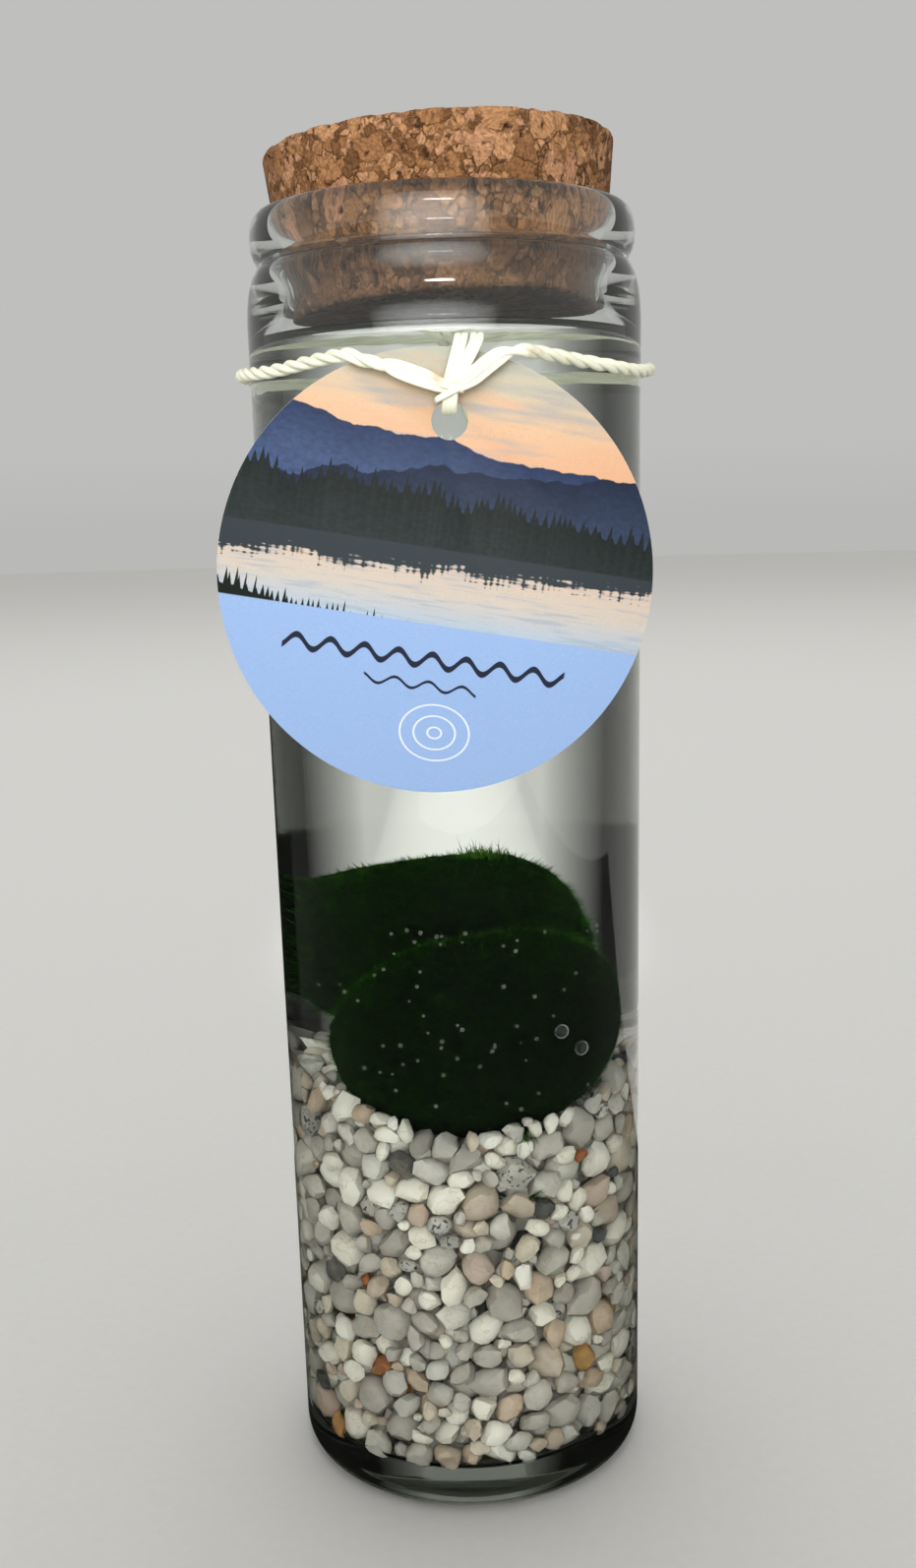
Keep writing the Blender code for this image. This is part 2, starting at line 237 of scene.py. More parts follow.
def new_material(name, values):
    """A material with its node tree and shader; values go on the shader's own sockets."""
    made = bpy.data.materials.new(name)
    made.use_nodes = True
    shader = made.node_tree.nodes["Principled BSDF"]
    for socket, value in values.items():
        shader.inputs[socket].default_value = value
    return made, made.node_tree, shader


def clear_material(name, values, colour, density):
    """A see-through material that tints light by the way it goes through: colour per 1 / density metres."""
    made, tree, shader = new_material(name, values)
    tint = add_node(tree, "VolumeAbsorption", {"Color": linear(colour), "Density": density})
    tree.links.new(tint, tree.nodes["Material Output"].inputs["Volume"])
    return made, tree, shader


def select_only(obj):
    bpy.ops.object.select_all(action="DESELECT")
    obj.select_set(True)
    bpy.context.view_layer.objects.active = obj


def edit(obj):
    """Opens the object in edit mode with all of it selected."""
    select_only(obj)
    bpy.ops.object.mode_set(mode="EDIT")
    bpy.ops.mesh.select_all(action="SELECT")


def leave_edit():
    bpy.ops.object.mode_set(mode="OBJECT")


def add_primitive(operator, **settings):
    """Adds a primitive while nothing else is selected."""
    bpy.ops.object.select_all(action="DESELECT")
    operator(**settings)
    return bpy.context.object


def apply_modifier(obj, kind, **settings):
    """Adds a modifier with its settings and applies it."""
    select_only(obj)
    modifier = obj.modifiers.new(kind.title(), kind)
    for name, value in settings.items():
        setattr(modifier, name, value)
    bpy.ops.object.modifier_apply(modifier=modifier.name)


def finish_piece(obj, name, nodes, material):
    """Puts the piece's place in its mesh, names it, gives its finish, hangs it on the root and hides the parts
    of the model that it stands for.
    """
    select_only(obj)
    bpy.ops.object.transform_apply(location=True, rotation=True, scale=True)
    obj.name = name
    obj.data.name = name
    obj.data.materials.clear()
    obj.data.materials.append(material)
    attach(obj, "root")
    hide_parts(*nodes)


def unit(vectors):
    """The vectors, one a row, each brought to a length of one."""
    return vectors / np.linalg.norm(vectors, axis=1)[:, None]


def arc(centre_r, centre_z, half_r, half_z, start, end, steps):
    """Points of an elliptical arc in the profile plane, from start to end in degrees, 0 pointing outwards."""
    points = []
    for step in range(steps + 1):
        angle = math.radians(start + (end - start) * step / steps)
        points.append((centre_r + half_r * math.cos(angle), centre_z + half_z * math.sin(angle)))
    return points


def turned(profile, steps):
    """A turned piece: its profile is drawn point by point by extruding a vertex, and spun about Z."""
    radius, height = profile[0]
    obj = add_primitive(bpy.ops.mesh.primitive_plane_add, size=MM, location=(radius, 0, height))
    bpy.ops.object.transform_apply(location=True)
    edit(obj)
    bpy.ops.mesh.merge(type="CENTER")
    for next_radius, next_height in profile[1:]:
        move = (next_radius - radius, 0, next_height - height)
        bpy.ops.mesh.extrude_vertices_move(TRANSFORM_OT_translate={"value": move})
        radius, height = next_radius, next_height
    bpy.ops.mesh.select_all(action="SELECT")
    bpy.ops.mesh.spin(steps=steps, angle=2 * math.pi, center=(0, 0, 0), axis=(0, 0, 1))
    bpy.ops.mesh.select_all(action="SELECT")
    bpy.ops.mesh.remove_doubles(threshold=0.000002)
    bpy.ops.mesh.normals_make_consistent(inside=False)
    leave_edit()
    return obj


def mesh_object(name, points, faces):
    """A mesh object from arrays of points and of faces that all have the same number of corners."""
    corners = faces.shape[1]
    mesh = bpy.data.meshes.new(name)
    mesh.vertices.add(len(points))
    mesh.vertices.foreach_set("co", np.asarray(points, np.float32).ravel())
    mesh.loops.add(faces.size)
    mesh.loops.foreach_set("vertex_index", np.asarray(faces, np.int32).ravel())
    mesh.polygons.add(len(faces))
    mesh.polygons.foreach_set("loop_start", np.arange(0, faces.size, corners, dtype=np.int32))
    mesh.update(calc_edges=True)
    mesh.shade_smooth()
    obj = bpy.data.objects.new(name, mesh)
    bpy.context.scene.collection.objects.link(obj)
    return obj


def set_attribute(obj, name, values):
    """Stores one number for each point of the mesh, which the materials read."""
    layer = obj.data.attributes.new(name, "FLOAT", "POINT")
    layer.data.foreach_set("value", np.asarray(values, np.float32))


def joined(shapes):
    """Points and faces of several shapes as those of one."""
    points, faces, total = [], [], 0
    for shape_points, shape_faces in shapes:
        points.append(shape_points)
        faces.append(shape_faces + total)
        total += len(shape_points)
    return np.concatenate(points), np.concatenate(faces)


def mesh_points(obj):
    points = np.empty(len(obj.data.vertices) * 3, np.float32)
    obj.data.vertices.foreach_get("co", points)
    return points.reshape(-1, 3).astype(float)


def move_points(obj, points):
    obj.data.vertices.foreach_set("co", np.asarray(points, np.float32).ravel())
    obj.data.update()


# Glass jar


def jar_profile():
    """The jar's section, from the middle of its floor up the inside, over the lip and down the outside."""
    corner = JAR_INNER - FLOOR_CORNER
    points = [(0.0, FLOOR_THICKNESS), (corner / 2, FLOOR_THICKNESS)]
    points += arc(corner, FLOOR_THICKNESS + FLOOR_CORNER, FLOOR_CORNER, FLOOR_CORNER, -90, 0, 12)
    # Rings just under and at the water's level part the wetted wall from the dry one
    points += [(JAR_INNER, WATER_LEVEL - WETTING), (JAR_INNER, WATER_LEVEL)]
    rise = INNER_SHOULDER_HIGH - INNER_SHOULDER_LOW
    steps = 18
    for step in range(steps + 1):
        share = step / steps
        narrowing = (JAR_INNER - BORE_RADIUS) * (1 - math.cos(math.pi * share)) / 2
        points.append((JAR_INNER - narrowing, INNER_SHOULDER_LOW + rise * share))
    lip = BORE_RADIUS + LIP_ROUND
    points += arc(lip, JAR_HEIGHT - LIP_ROUND, LIP_ROUND, LIP_ROUND, 180, 90, 8)
    bead_width = BEAD_RADIUS - LIP_FLAT_RADIUS
    points += arc(LIP_FLAT_RADIUS, JAR_HEIGHT - BEAD_HEIGHT, bead_width, BEAD_HEIGHT, 90, 90 - BEAD_SWEEP, 24)
    shoulder_width = JAR_RADIUS - GROOVE_RADIUS
    shoulder_rise = GROOVE_HEIGHT - SHOULDER_HEIGHT
    points += arc(GROOVE_RADIUS, SHOULDER_HEIGHT, shoulder_width, shoulder_rise, 90, 0, 18)
    points += arc(JAR_RADIUS - HEEL_WIDTH, HEEL_HEIGHT, HEEL_WIDTH, HEEL_HEIGHT, 0, -90, 14)
    # The base stands on its rim: its middle is pushed up a little
    rim = JAR_RADIUS - HEEL_WIDTH
    for step in range(1, 9):
        share = step / 8
        points.append((rim * (1 - share), PUNT_DEPTH * math.sin(share * math.pi / 2) ** 0.5))
    return points


def flint_glass():
    """Clear flint glass, blown in a mould: smooth and glossy, faintly waved, grey-green through its base."""
    values = {"Base Color": linear("#fdfffe"), "Roughness": 0.0, "IOR": 1.52, "Transmission Weight": 1.0}
    made, tree, shader = clear_material("clear_flint_glass", values, "#b9beb4", 38.0)
    # Where water wets the glass, their meeting hardly gleams
    wetted = add_node(tree, "Attribute", attribute_name="wetted", output="Fac")
    gleam = add_node(tree, "MapRange", [wetted, 0.0, 1.0, 1.0, WET_GLEAM])
    tree.links.new(gleam, shader.inputs["Specular Tint"])
    # Mould waves of about 12 mm
    place = add_node(tree, "TexCoord", output="Object")
    stretch = add_node(tree, "Mapping", {"Vector": place, "Scale": (1, 1, 0.35)})
    waves = add_node(tree, "TexNoise", {"Vector": stretch, "Scale": 1 / (12 * MM), "Detail": 1.0})
    bump = add_node(tree, "Bump", {"Height": waves, "Strength": 0.25, "Distance": 0.05 * MM})
    tree.links.new(bump, shader.inputs["Normal"])
    return made


class MARIMO_OT_jar(bpy.types.Operator):
    """Turns the clear glass jar with its bead rim and thick base"""

    bl_idname = "marimo.jar"
    bl_label = "Glass jar"

    def execute(self, context):
        jar = turned(jar_profile(), context.scene.marimo_jar.turn_steps)
        select_only(jar)
        bpy.ops.object.shade_smooth()
        points = mesh_points(jar)
        inside = np.hypot(points[:, 0], points[:, 1]) < JAR_INNER + WETTING
        wetted = inside & (points[:, 2] > FLOOR_THICKNESS - WETTING) & (points[:, 2] < WATER_LEVEL)
        set_attribute(jar, "wetted", wetted)
        finish_piece(jar, "jar_glass", ["glass_jar"], flint_glass())
        return {"FINISHED"}


# Water and its bubbles


def water_profile():
    """The water's section: its top with the meniscus, down the wetted wall, and across the floor."""
    outer = JAR_INNER + WETTING
    floor = FLOOR_THICKNESS - WETTING
    points = [(0.0, WATER_LEVEL)]
    steps = 16
    for step in range(steps + 1):
        radius = outer * (0.75 + 0.25 * step / steps)
        points.append((radius, WATER_LEVEL + MENISCUS_RISE * math.exp((radius - outer) / MENISCUS_REACH)))
    # Rings near each end keep the long wall's shading straight
    points.append((outer, WATER_LEVEL))
    points.append((outer, WATER_LEVEL - 0.002))
    corner = FLOOR_CORNER + WETTING
    points.append((outer, floor + corner + 0.002))
    points += arc(outer - corner, floor + corner, corner, corner, 0, -90, 12)
    points.append((0.0, floor))
    return points


def bubble_places(rng, count):
    """Small air bubbles on the front glass, most of them in front of the moss."""
    places = []
    for _ in range(count):
        angle = math.radians(rng.normal(-6, 24))
        radius = rng.uniform(0.00014, 0.0003)
        places.append((angle, rng.uniform(0.069, 0.099), radius))
    return places


def still_water():
    """Still, clear water: no roughness, and a faint warm green where it is deep."""
    values = {"Base Color": linear("#ffffff"), "Roughness": 0.0, "IOR": 1.333, "Transmission Weight": 1.0}
    made, tree, shader = clear_material("still_water", values, "#d8dccb", 4.0)
    # It mirrors at its top, and hardly gleams where it wets the glass
    open_air = add_node(tree, "Attribute", attribute_name="open_air", output="Fac")
    gleam = add_node(tree, "MapRange", [open_air, 0.0, 1.0, WET_GLEAM, 1.0])
    tree.links.new(gleam, shader.inputs["Specular Tint"])
    return made


def bubble_material():
    """Air in water: a pale skin shown where the surface turns aslant is a painted reflection at its rim, and
    its middle is clear.
    """
    values = {"Base Color": linear("#e8f0ec"), "Roughness": 0.2, "Specular IOR Level": 0.1}
    made, tree, shader = new_material("air_bubble", values)
    # The pale colour at the rim is a painted reflection
    slant = add_node(tree, "LayerWeight", {"Blend": 0.5}, output="Facing")
    rim = add_node(tree, "MapRange", [slant, 0.3, 0.8, 0.05, 0.9])
    tree.links.new(rim, shader.inputs["Alpha"])
    return made


class MARIMO_OT_water(bpy.types.Operator):
    """Fills the jar with still water that creeps up the glass, with a few bubbles in it"""

    bl_idname = "marimo.water"
    bl_label = "Water"

    def execute(self, context):
        settings = context.scene.marimo_water
        water = turned(water_profile(), context.scene.marimo_jar.turn_steps)
        select_only(water)
        bpy.ops.object.shade_smooth_by_angle(angle=math.radians(40))
        set_attribute(water, "open_air", mesh_points(water)[:, 2] > WATER_LEVEL - WETTING)
        finish_piece(water, "water_body", ["water"], still_water())
        rng = np.random.default_rng(settings.seed)
        bubbles = []
        for angle, height, radius in (*LARGE_BUBBLES, *bubble_places(rng, settings.bubbles)):
            detail = 3 if radius > SMALL_BUBBLE else 2
            place = bubble_centre(angle, height, radius)
            ball = bpy.ops.mesh.primitive_ico_sphere_add
            bubbles.append(add_primitive(ball, subdivisions=detail, radius=radius, location=place))
        select_only(bubbles[0])
        for bubble in bubbles:
            bubble.select_set(True)
        bpy.ops.object.join()
        bpy.ops.object.shade_smooth()
        finish_piece(bubbles[0], "water_bubbles", ["water"], bubble_material())
        return {"FINISHED"}


# Gravel


def bed_height(x, y):
    """Height of the gravel's top: level, with a dip at the front glass where the lower ball presses."""
    across = np.exp(-(((x - GRAVEL_DIP_X) / GRAVEL_DIP_WIDTH) ** 2))
    depth = np.clip(1 - (y + JAR_RADIUS) / GRAVEL_DIP_DEPTH, 0, 1)
    return GRAVEL_LEVEL - GRAVEL_DIP * across * np.sqrt(depth)


def near_pairs(centres, radii, reach):
    """Pairs of pebbles whose centres are nearer than reach times the sum of their radii."""
    squares = (centres**2).sum(1)
    distances = squares[:, None] + squares[None] - 2 * centres @ centres.T
    limit = (reach * (radii[:, None] + radii[None])) ** 2
    return np.nonzero(np.triu(distances < limit, 1))


def ball_reach(points, ball, grow):
    """How far out of the ball's middle each point is, as a share of the ball's form grown by grow."""
    across = np.abs((points - ball.centre) @ MOSS_TURN) / (ball.half + grow)
    return (across**ball.squareness).sum(1) ** (1 / ball.squareness)


def keep_in_bed(centres, radii):
    """Moves pebbles back inside the glass, above its floor, under the bed's top and out of the moss."""
    for ball in (FRONT, BACK):
        reach = ball_reach(centres, ball, 0.7 * radii[:, None])
        inside = reach < 1
        centres[inside] = ball.centre + (centres[inside] - ball.centre) / reach[inside, None]
    ceiling = bed_height(centres[:, 0], centres[:, 1]) - 1.1 * radii
    centres[:, 2] = np.minimum(centres[:, 2], ceiling)
    centres[:, 2] = np.maximum(centres[:, 2], FLOOR_THICKNESS + 0.8 * radii)
    out = np.hypot(centres[:, 0], centres[:, 1])
    limit = JAR_INNER - 0.85 * radii
    shrink = np.minimum(1, limit / np.maximum(out, 1e-6))
    centres[:, 0] *= shrink
    centres[:, 1] *= shrink


def pack_pebbles(rng, settings):
    """Centres and radii of pebbles that fill the bed: scattered through it, then pushed apart."""
    volume = math.pi * JAR_INNER**2 * (GRAVEL_LEVEL - FLOOR_THICKNESS) * 0.93
    radii = []
    filled = 0.0
    while filled < settings.fill * volume:
        radius = np.clip(settings.mean * np.exp(rng.normal(0, 0.38)), settings.smallest, settings.largest) / 2
        radii.append(radius)
        filled += 4 / 3 * math.pi * radius**3
    radii = np.array(radii)
    count = len(radii)
    angle = rng.uniform(0, 2 * math.pi, count)
    out = JAR_INNER * np.sqrt(rng.uniform(0, 1, count))
    height = rng.uniform(FLOOR_THICKNESS, GRAVEL_LEVEL, count)
    centres = np.column_stack((out * np.cos(angle), out * np.sin(angle), height))
    for step in range(settings.settle_steps):
        if step % 5 == 0:
            first, second = near_pairs(centres, radii, 1.25)
        between = centres[second] - centres[first]
        distance = np.maximum(np.linalg.norm(between, axis=1), 1e-6)
        overlap = radii[first] + radii[second] - distance
        push = np.where(overlap > 0, overlap * 0.35, 0)[:, None] * between / distance[:, None]
        np.add.at(centres, first, -push)
        np.add.at(centres, second, push)
        keep_in_bed(centres, radii)
    return centres, radii


def random_turns(rng, count):
    """Random rotation matrices."""
    turns, _ = np.linalg.qr(rng.normal(size=(count, 3, 3)))
    return turns


def along_axis(metrics, directions):
    """How far each stretched pebble of size one reaches in its direction."""
    return 1 / np.sqrt(np.einsum("pi,pij,pj->p", directions, metrics, directions))


def pebble_points(rng, centres, radii, pattern):
    """Points of every pebble: a long, worn stone, flattened where it meets its neighbours and the glass."""
    count = len(centres)
    sharp = 24.0
    gap = 0.00003
    stretch = np.column_stack(
        (rng.uniform(1.15, 2.0, count), rng.uniform(0.85, 1.15, count), rng.uniform(0.55, 0.9, count))
    )
    stretch /= np.cbrt(stretch.prod(1))[:, None]
    turns = random_turns(rng, count)
    metrics = np.einsum("nij,nj,nkj->nik", turns, 1 / stretch**2, turns)
    directions = np.einsum("nij,vj->nvi", turns, pattern)
    own = OWN_REACH * radii[:, None] / np.linalg.norm(pattern[None] / stretch[:, None], axis=2)
    closeness = own ** -sharp
    # Old breaks, worn flat
    for _ in range(8):
        normals = unit(rng.normal(size=(count, 3)))
        facing = np.einsum("nvk,nk->nv", directions, normals)
        reach = (radii * rng.uniform(0.66, 1.15, count))[:, None] / np.maximum(facing, 1e-3)
        closeness += np.where(facing > 0.05, reach ** -sharp, 0)
    # Two neighbours share one flat, tilted as their own forms ask
    first, second = near_pairs(centres, radii, 1.9)
    between = centres[second] - centres[first]
    distance = np.linalg.norm(between, axis=1)
    between /= distance[:, None]
    near = radii[first] * along_axis(metrics[first], between)
    far = radii[second] * along_axis(metrics[second], between)
    tilt = 0
    for which in (first, second):
        lean = np.einsum("pij,pj->pi", metrics[which], between)
        tilt = tilt + unit(lean)
    tilt = unit(tilt)
    square = (tilt * between).sum(1)
    share = near / (near + far)
    for which, sign, part in ((first, 1, share), (second, -1, 1 - share)):
        plane = np.maximum(distance * part * square - gap, 0.2 * radii[which])
        facing = sign * np.einsum("pvk,pk->pv", directions[which], tilt)
        reach = plane[:, None] / np.maximum(facing, 1e-3)
        np.add.at(closeness, which, np.where(facing > 0.05, reach ** -sharp, 0))
    # The wall and the floor flatten pebbles too
    flat = directions[..., :2]
    across = np.maximum((flat**2).sum(2), 1e-6)
    along = (centres[:, None, :2] * flat).sum(2)
    room = (JAR_INNER - gap) ** 2 - (centres[:, :2] ** 2).sum(1)
    wall = (-along + np.sqrt(along**2 + across * room[:, None])) / across
    closeness += np.maximum(wall, 1e-5) ** -sharp
    drop = np.maximum(-directions[..., 2], 1e-3)
    height = (centres[:, 2] - FLOOR_THICKNESS - gap)[:, None]
    closeness += np.where(directions[..., 2] < -0.05, (height / drop) ** -sharp, 0)
    reach = closeness ** (-1 / sharp)
    return centres[:, None] + reach[..., None] * directions


def stone_material(name, stops, patch, speck):
    """Tumbled quartz under water: a hue for each pebble, cloudy patches, rust veins and a worn, wet skin."""
    values = {
        "Roughness": 0.4,
        "IOR": 1.54,
        # Under water quartz hardly gleams
        "Specular IOR Level": 0.08,
        "Subsurface Weight": 0.3,
        "Subsurface Radius": (1.0, 0.95, 0.85),
        "Subsurface Scale": 1.2 * MM,
    }
    made, tree, shader = new_material(name, values)
    place = add_node(tree, "TexCoord", output="Object")
    tone = add_node(tree, "Attribute", attribute_name="tone", output="Fac")
    hue = add_node(tree, "ValToRGB", [tone], stops)
    # No two pebbles are cut from the same piece of stone
    own = add_node(tree, "Math", [tone, 300.0], operation="MULTIPLY")
    # Clouds of about 3 mm, veins 5 mm apart, mineral specks of 0.7 mm and a skin of 0.5 mm, with their detail
    grains = []
    for width, detail in ((3.0, 4.0), (5.0, 3.0), (0.7, 2.0), (0.5, 2.0)):
        values = {"Vector": place, "W": own, "Scale": 1 / (width * MM), "Detail": detail}
        grains.append(add_node(tree, "TexNoise", values, noise_dimensions="4D"))
    cloud, vein, mineral, skin = grains
    shade = add_node(tree, "MapRange", [cloud, 0.3, 0.7, 1 - patch, 1.0])
    colour = add_node(tree, "Mix", [1.0, hue, shade], **MULTIPLIED)
    # A vein runs where its pattern crosses the middle value
    away = add_node(tree, "Math", [vein, 0.5], operation="SUBTRACT")
    away = add_node(tree, "Math", [away], operation="ABSOLUTE")
    rust = add_node(tree, "MapRange", [away, 0.0, 0.012, 0.35, 0.0])
    colour = add_node(tree, "Mix", [rust, colour, linear("#a98a63")], **LAID_OVER)
    dark = add_node(tree, "MapRange", [mineral, 0.55, 0.6, 0.0, speck])
    colour = add_node(tree, "Mix", [dark, colour, linear("#3b3d41")], **LAID_OVER)
    tree.links.new(colour, shader.inputs["Base Color"])
    bump = add_node(tree, "Bump", {"Height": skin, "Strength": 0.5, "Distance": 0.1 * MM})
    tree.links.new(bump, shader.inputs["Normal"])
    return made


# Share of the bed, hues, how cloudy the stone is and how dark its specks are
STONES = {
    "pebbles_white": (0.32, ["#f6f2e6", "#ece8da", "#faf7ed", "#efebdd"], 0.12, 0.0),
    "pebbles_grey": (0.40, ["#aca69c", "#d6d3c9", "#bfbab0", "#dddbd2", "#b3ada4", "#c8c4ba"], 0.22, 0.06),
    "pebbles_warm": (0.19, ["#ddd5c3", "#c9b9a6", "#e6ddca", "#c0ae9b", "#d6c1aa", "#d2c0b4"], 0.25, 0.06),
    "pebbles_granite": (0.04, ["#c9c8c2", "#b5b2aa", "#d3d0c6"], 0.3, 0.9),
    "pebbles_slate": (0.03, ["#4c5054", "#6f6d68", "#3f4246"], 0.4, 0.2),
    "pebbles_rust": (0.02, ["#c07a35", "#b06a4e", "#cfa86a"], 0.4, 0.1),
}


def round_pattern(detail):
    """Directions and faces of a round shape that every pebble starts from."""
    pattern = add_primitive(bpy.ops.mesh.primitive_ico_sphere_add, subdivisions=detail, radius=1.0)
    directions = unit(mesh_points(pattern))
    corners = np.array([face.vertices[:] for face in pattern.data.polygons])
    bpy.data.objects.remove(pattern)
    return directions, corners


class MARIMO_OT_gravel(bpy.types.Operator):
    """Packs tumbled quartz pebbles in the jar, in six kinds of stone"""

    bl_idname = "marimo.gravel"
    bl_label = "Gravel"

    def execute(self, context):
        settings = context.scene.marimo_gravel
        rng = np.random.default_rng(settings.seed)
        centres, radii = pack_pebbles(rng, settings)
        kinds = rng.choice(len(STONES), len(centres), p=[stone[0] for stone in STONES.values()])
        tones = rng.uniform(0, 1, len(centres))
        # Pebbles that show are modelled finer than those inside the bed
        wall_room = JAR_INNER - np.hypot(centres[:, 0], centres[:, 1]) - 2 * radii
        top_room = bed_height(centres[:, 0], centres[:, 1]) - centres[:, 2] - 2 * radii
        shows = np.minimum(wall_room, top_room) < settings.mean / 2
        shapes = []
        for detail, members in ((2, shows), (1, ~shows)):
            directions, corners = round_pattern(detail)
            state = np.random.default_rng(settings.seed + 1)
            shapes.append((pebble_points(state, centres, radii, directions), corners, members))
        for index, (name, (_, hues, patch, speck)) in enumerate(STONES.items()):
            points, faces, own_tones = [], [], []
            total = 0
            for shaped, corners, members in shapes:
                chosen = np.nonzero((kinds == index) & members)[0]
                each = shaped.shape[1]
                points.append(shaped[chosen].reshape(-1, 3))
                offsets = total + np.arange(len(chosen))[:, None, None] * each
                faces.append((corners[None] + offsets).reshape(-1, 3))
                own_tones.append(np.repeat(tones[chosen], each))
                total += len(chosen) * each
            obj = mesh_object(name, np.concatenate(points), np.concatenate(faces))
            set_attribute(obj, "tone", np.concatenate(own_tones))
            stops = [(place / max(1, len(hues) - 1), hue) for place, hue in enumerate(hues)]
            stone = stone_material(name + "_stone", stops, patch, speck)
            select_only(obj)
            bpy.ops.object.shade_smooth_by_angle(angle=math.radians(36))
            finish_piece(obj, name, ["gravel_bed"], stone)
        return {"FINISHED"}


# Moss balls


def moss_lump(direction, seed):
    """How far the ball stands in or out in this direction, as a length."""
    return MOSS_LUMP * (noise.noise(direction * (0.018 / MOSS_LUMP_SIZE) + Vector((seed, 0, 0))) - 0.35)


def ball_surface(directions, ball, depth):
    """Points under the ball's outer form in these directions, at a depth for each."""
    lumps = np.array([moss_lump(Vector(direction), ball.seed) for direction in directions])
    fullness = (np.abs(directions) ** ball.squareness).sum(1) ** (-1 / ball.squareness)
    reach = directions * fullness[:, None] * (ball.half + (lumps - depth)[:, None])
    return ball.centre + reach @ MOSS_TURN.T


def bubble_centre(angle, height, radius):
    """The middle of a bubble that clings to the glass, at an angle from the front."""
    out = JAR_INNER - radius - 0.0002
    return np.array((out * math.sin(angle), -out * math.cos(angle), height))


def clear_of_bubbles(points, room):
    """Pushes moss out of the large bubbles and of some room round them, towards the jar's axis."""
    for angle, height, radius in LARGE_BUBBLES:
        middle = bubble_centre(angle, height, radius)
        away = points - middle
        near = np.linalg.norm(away, axis=1) < radius + room
        inward = np.array((-math.sin(angle), math.cos(angle), 0.0)) * radius
        aside = away[near] + inward
        points[near] = middle + unit(aside) * (radius + room)
    return points


def press_on_glass(points, clearance):
    """Flattens what would go through the glass against its inside."""
    out = np.hypot(points[..., 0], points[..., 1])
    shrink = np.minimum(1, (JAR_INNER - clearance) / np.maximum(out, 1e-6))
    points[..., 0] *= shrink
    points[..., 1] *= shrink
    return points


def moss_core(ball, depth):
    """The dense felt under the hair: a lumpy ball with tufts and hollows in its skin."""
    core = add_primitive(bpy.ops.mesh.primitive_ico_sphere_add, subdivisions=6, radius=1.0)
    directions = unit(mesh_points(core))
    shift = Vector((ball.seed, 3, 0))
    tufts = np.array([noise.noise(Vector(direction) * 14 + shift) for direction in directions])
    points = press_on_glass(ball_surface(directions, ball, depth - 0.0004 * tufts), 0.0006)
    move_points(core, clear_of_bubbles(points, 0.0005))
    select_only(core)
    bpy.ops.object.shade_smooth()
    return core


def moss_hairs(name, rng, ball, settings, other):
    """Fine curved threads that stand out of the core, each a tapering three-sided hair in two lengths."""
    count = settings.hairs
    directions = unit(rng.normal(size=(count, 3)))
    lengths = settings.length * rng.uniform(0.55, 1.0, count)
    sunk = rng.uniform(0, 1, count) ** 0.5
    tips = ball_surface(directions, ball, settings.fringe * sunk)
    normals = np.sign(directions) * np.abs(directions) ** (ball.squareness - 1) / ball.half
    normals = unit(normals @ MOSS_TURN.T)
    shift = Vector((ball.seed, 0, 9))
    swirl = np.array([noise.noise_vector(Vector(direction) * 5 + shift) for direction in directions])
    lean = swirl * 0.4 + rng.normal(size=(count, 3)) * 0.22
    lean -= (lean * normals).sum(1)[:, None] * normals
    roots = tips - (normals + lean) * lengths[:, None]
    middles = (roots + tips) / 2 + rng.normal(size=(count, 3)) * 0.08 * lengths[:, None]
    kept = np.ones(count, bool)
    if other:
        kept = ball_reach(tips, other, -0.0008) > 1
    for angle, height, radius in LARGE_BUBBLES:
        kept &= np.linalg.norm(tips - bubble_centre(angle, height, radius), axis=1) > radius + 0.0003
    roots, middles, tips, normals, sunk = roots[kept], middles[kept], tips[kept], normals[kept], sunk[kept]
    count = len(roots)
    press_on_glass(roots, 0.0008)
    press_on_glass(middles, 0.0003)
    press_on_glass(tips, 0.0002)
    # The threads that stand out furthest get the brightest tone: painted light, for light shining through the
    # outer tips
    tone = 0.45 * rng.uniform(0, 1, count) + 0.55 * (1 - sunk) ** 2
    return thread_mesh(name, rng, roots, middles, tips, normals, settings.width, tone)


def loose_threads(name, rng, settings):
    """Wisps that came off the balls: a tuft on the crown, a hanging strand, and a few threads on pebbles."""
    roots, ways = [], []
    for middle, spread, way, length, threads in LOOSE_MOSS:
        strewn = np.array(middle) + rng.uniform(-1, 1, (threads, 3)) * rng.uniform(0, 1, (threads, 1)) * spread
        roots.append(strewn * MM)
        bent = np.array(way) + rng.normal(size=(threads, 3)) * 0.35
        ways.append(bent * rng.uniform(0.4, 1.0, (threads, 1)) * length * MM)
    roots, ways = np.concatenate(roots), np.concatenate(ways)
    count = len(roots)
    middles = roots + ways / 2 + rng.normal(size=(count, 3)) * 0.00025
    tips = roots + ways
    for points in (roots, middles, tips):
        press_on_glass(points, 0.00008)
    tone = rng.uniform(0.45, 1.0, count)
    return thread_mesh(name, rng, roots, middles, tips, ways, settings.width, tone)


def thread_mesh(name, rng, roots, middles, tips, ways, width, tone):
    """Threads as tapering three-sided hairs in two lengths, from root to tip, with each one's tone."""
    count = len(roots)
    normals = unit(ways)
    side = unit(np.cross(normals, rng.normal(size=(count, 3))))
    other_side = np.cross(normals, side)
    widths = width * rng.uniform(0.7, 1.2, count) / 2
    points = np.empty((count, 7, 3))
    for corner in range(3):
        angle = 2 * math.pi * corner / 3
        around = (side * math.cos(angle) + other_side * math.sin(angle)) * widths[:, None]
        points[:, corner] = roots + around
        points[:, 3 + corner] = middles + around * 0.75
    points[:, 6] = tips
    faces = []
    for corner in range(3):
        after = (corner + 1) % 3
        faces += [(corner, after, 3 + after), (corner, 3 + after, 3 + corner), (3 + corner, 3 + after, 6)]
    faces.append((0, 2, 1))
    faces = (np.array(faces)[None] + np.arange(count)[:, None, None] * 7).reshape(-1, 3)
    hairs = mesh_object(name, points.reshape(-1, 3), faces)
    set_attribute(hairs, "tone", np.repeat(tone, 7))
    set_attribute(hairs, "along", np.tile([0, 0, 0, 0.5, 0.5, 0.5, 1.0], count))
    return hairs


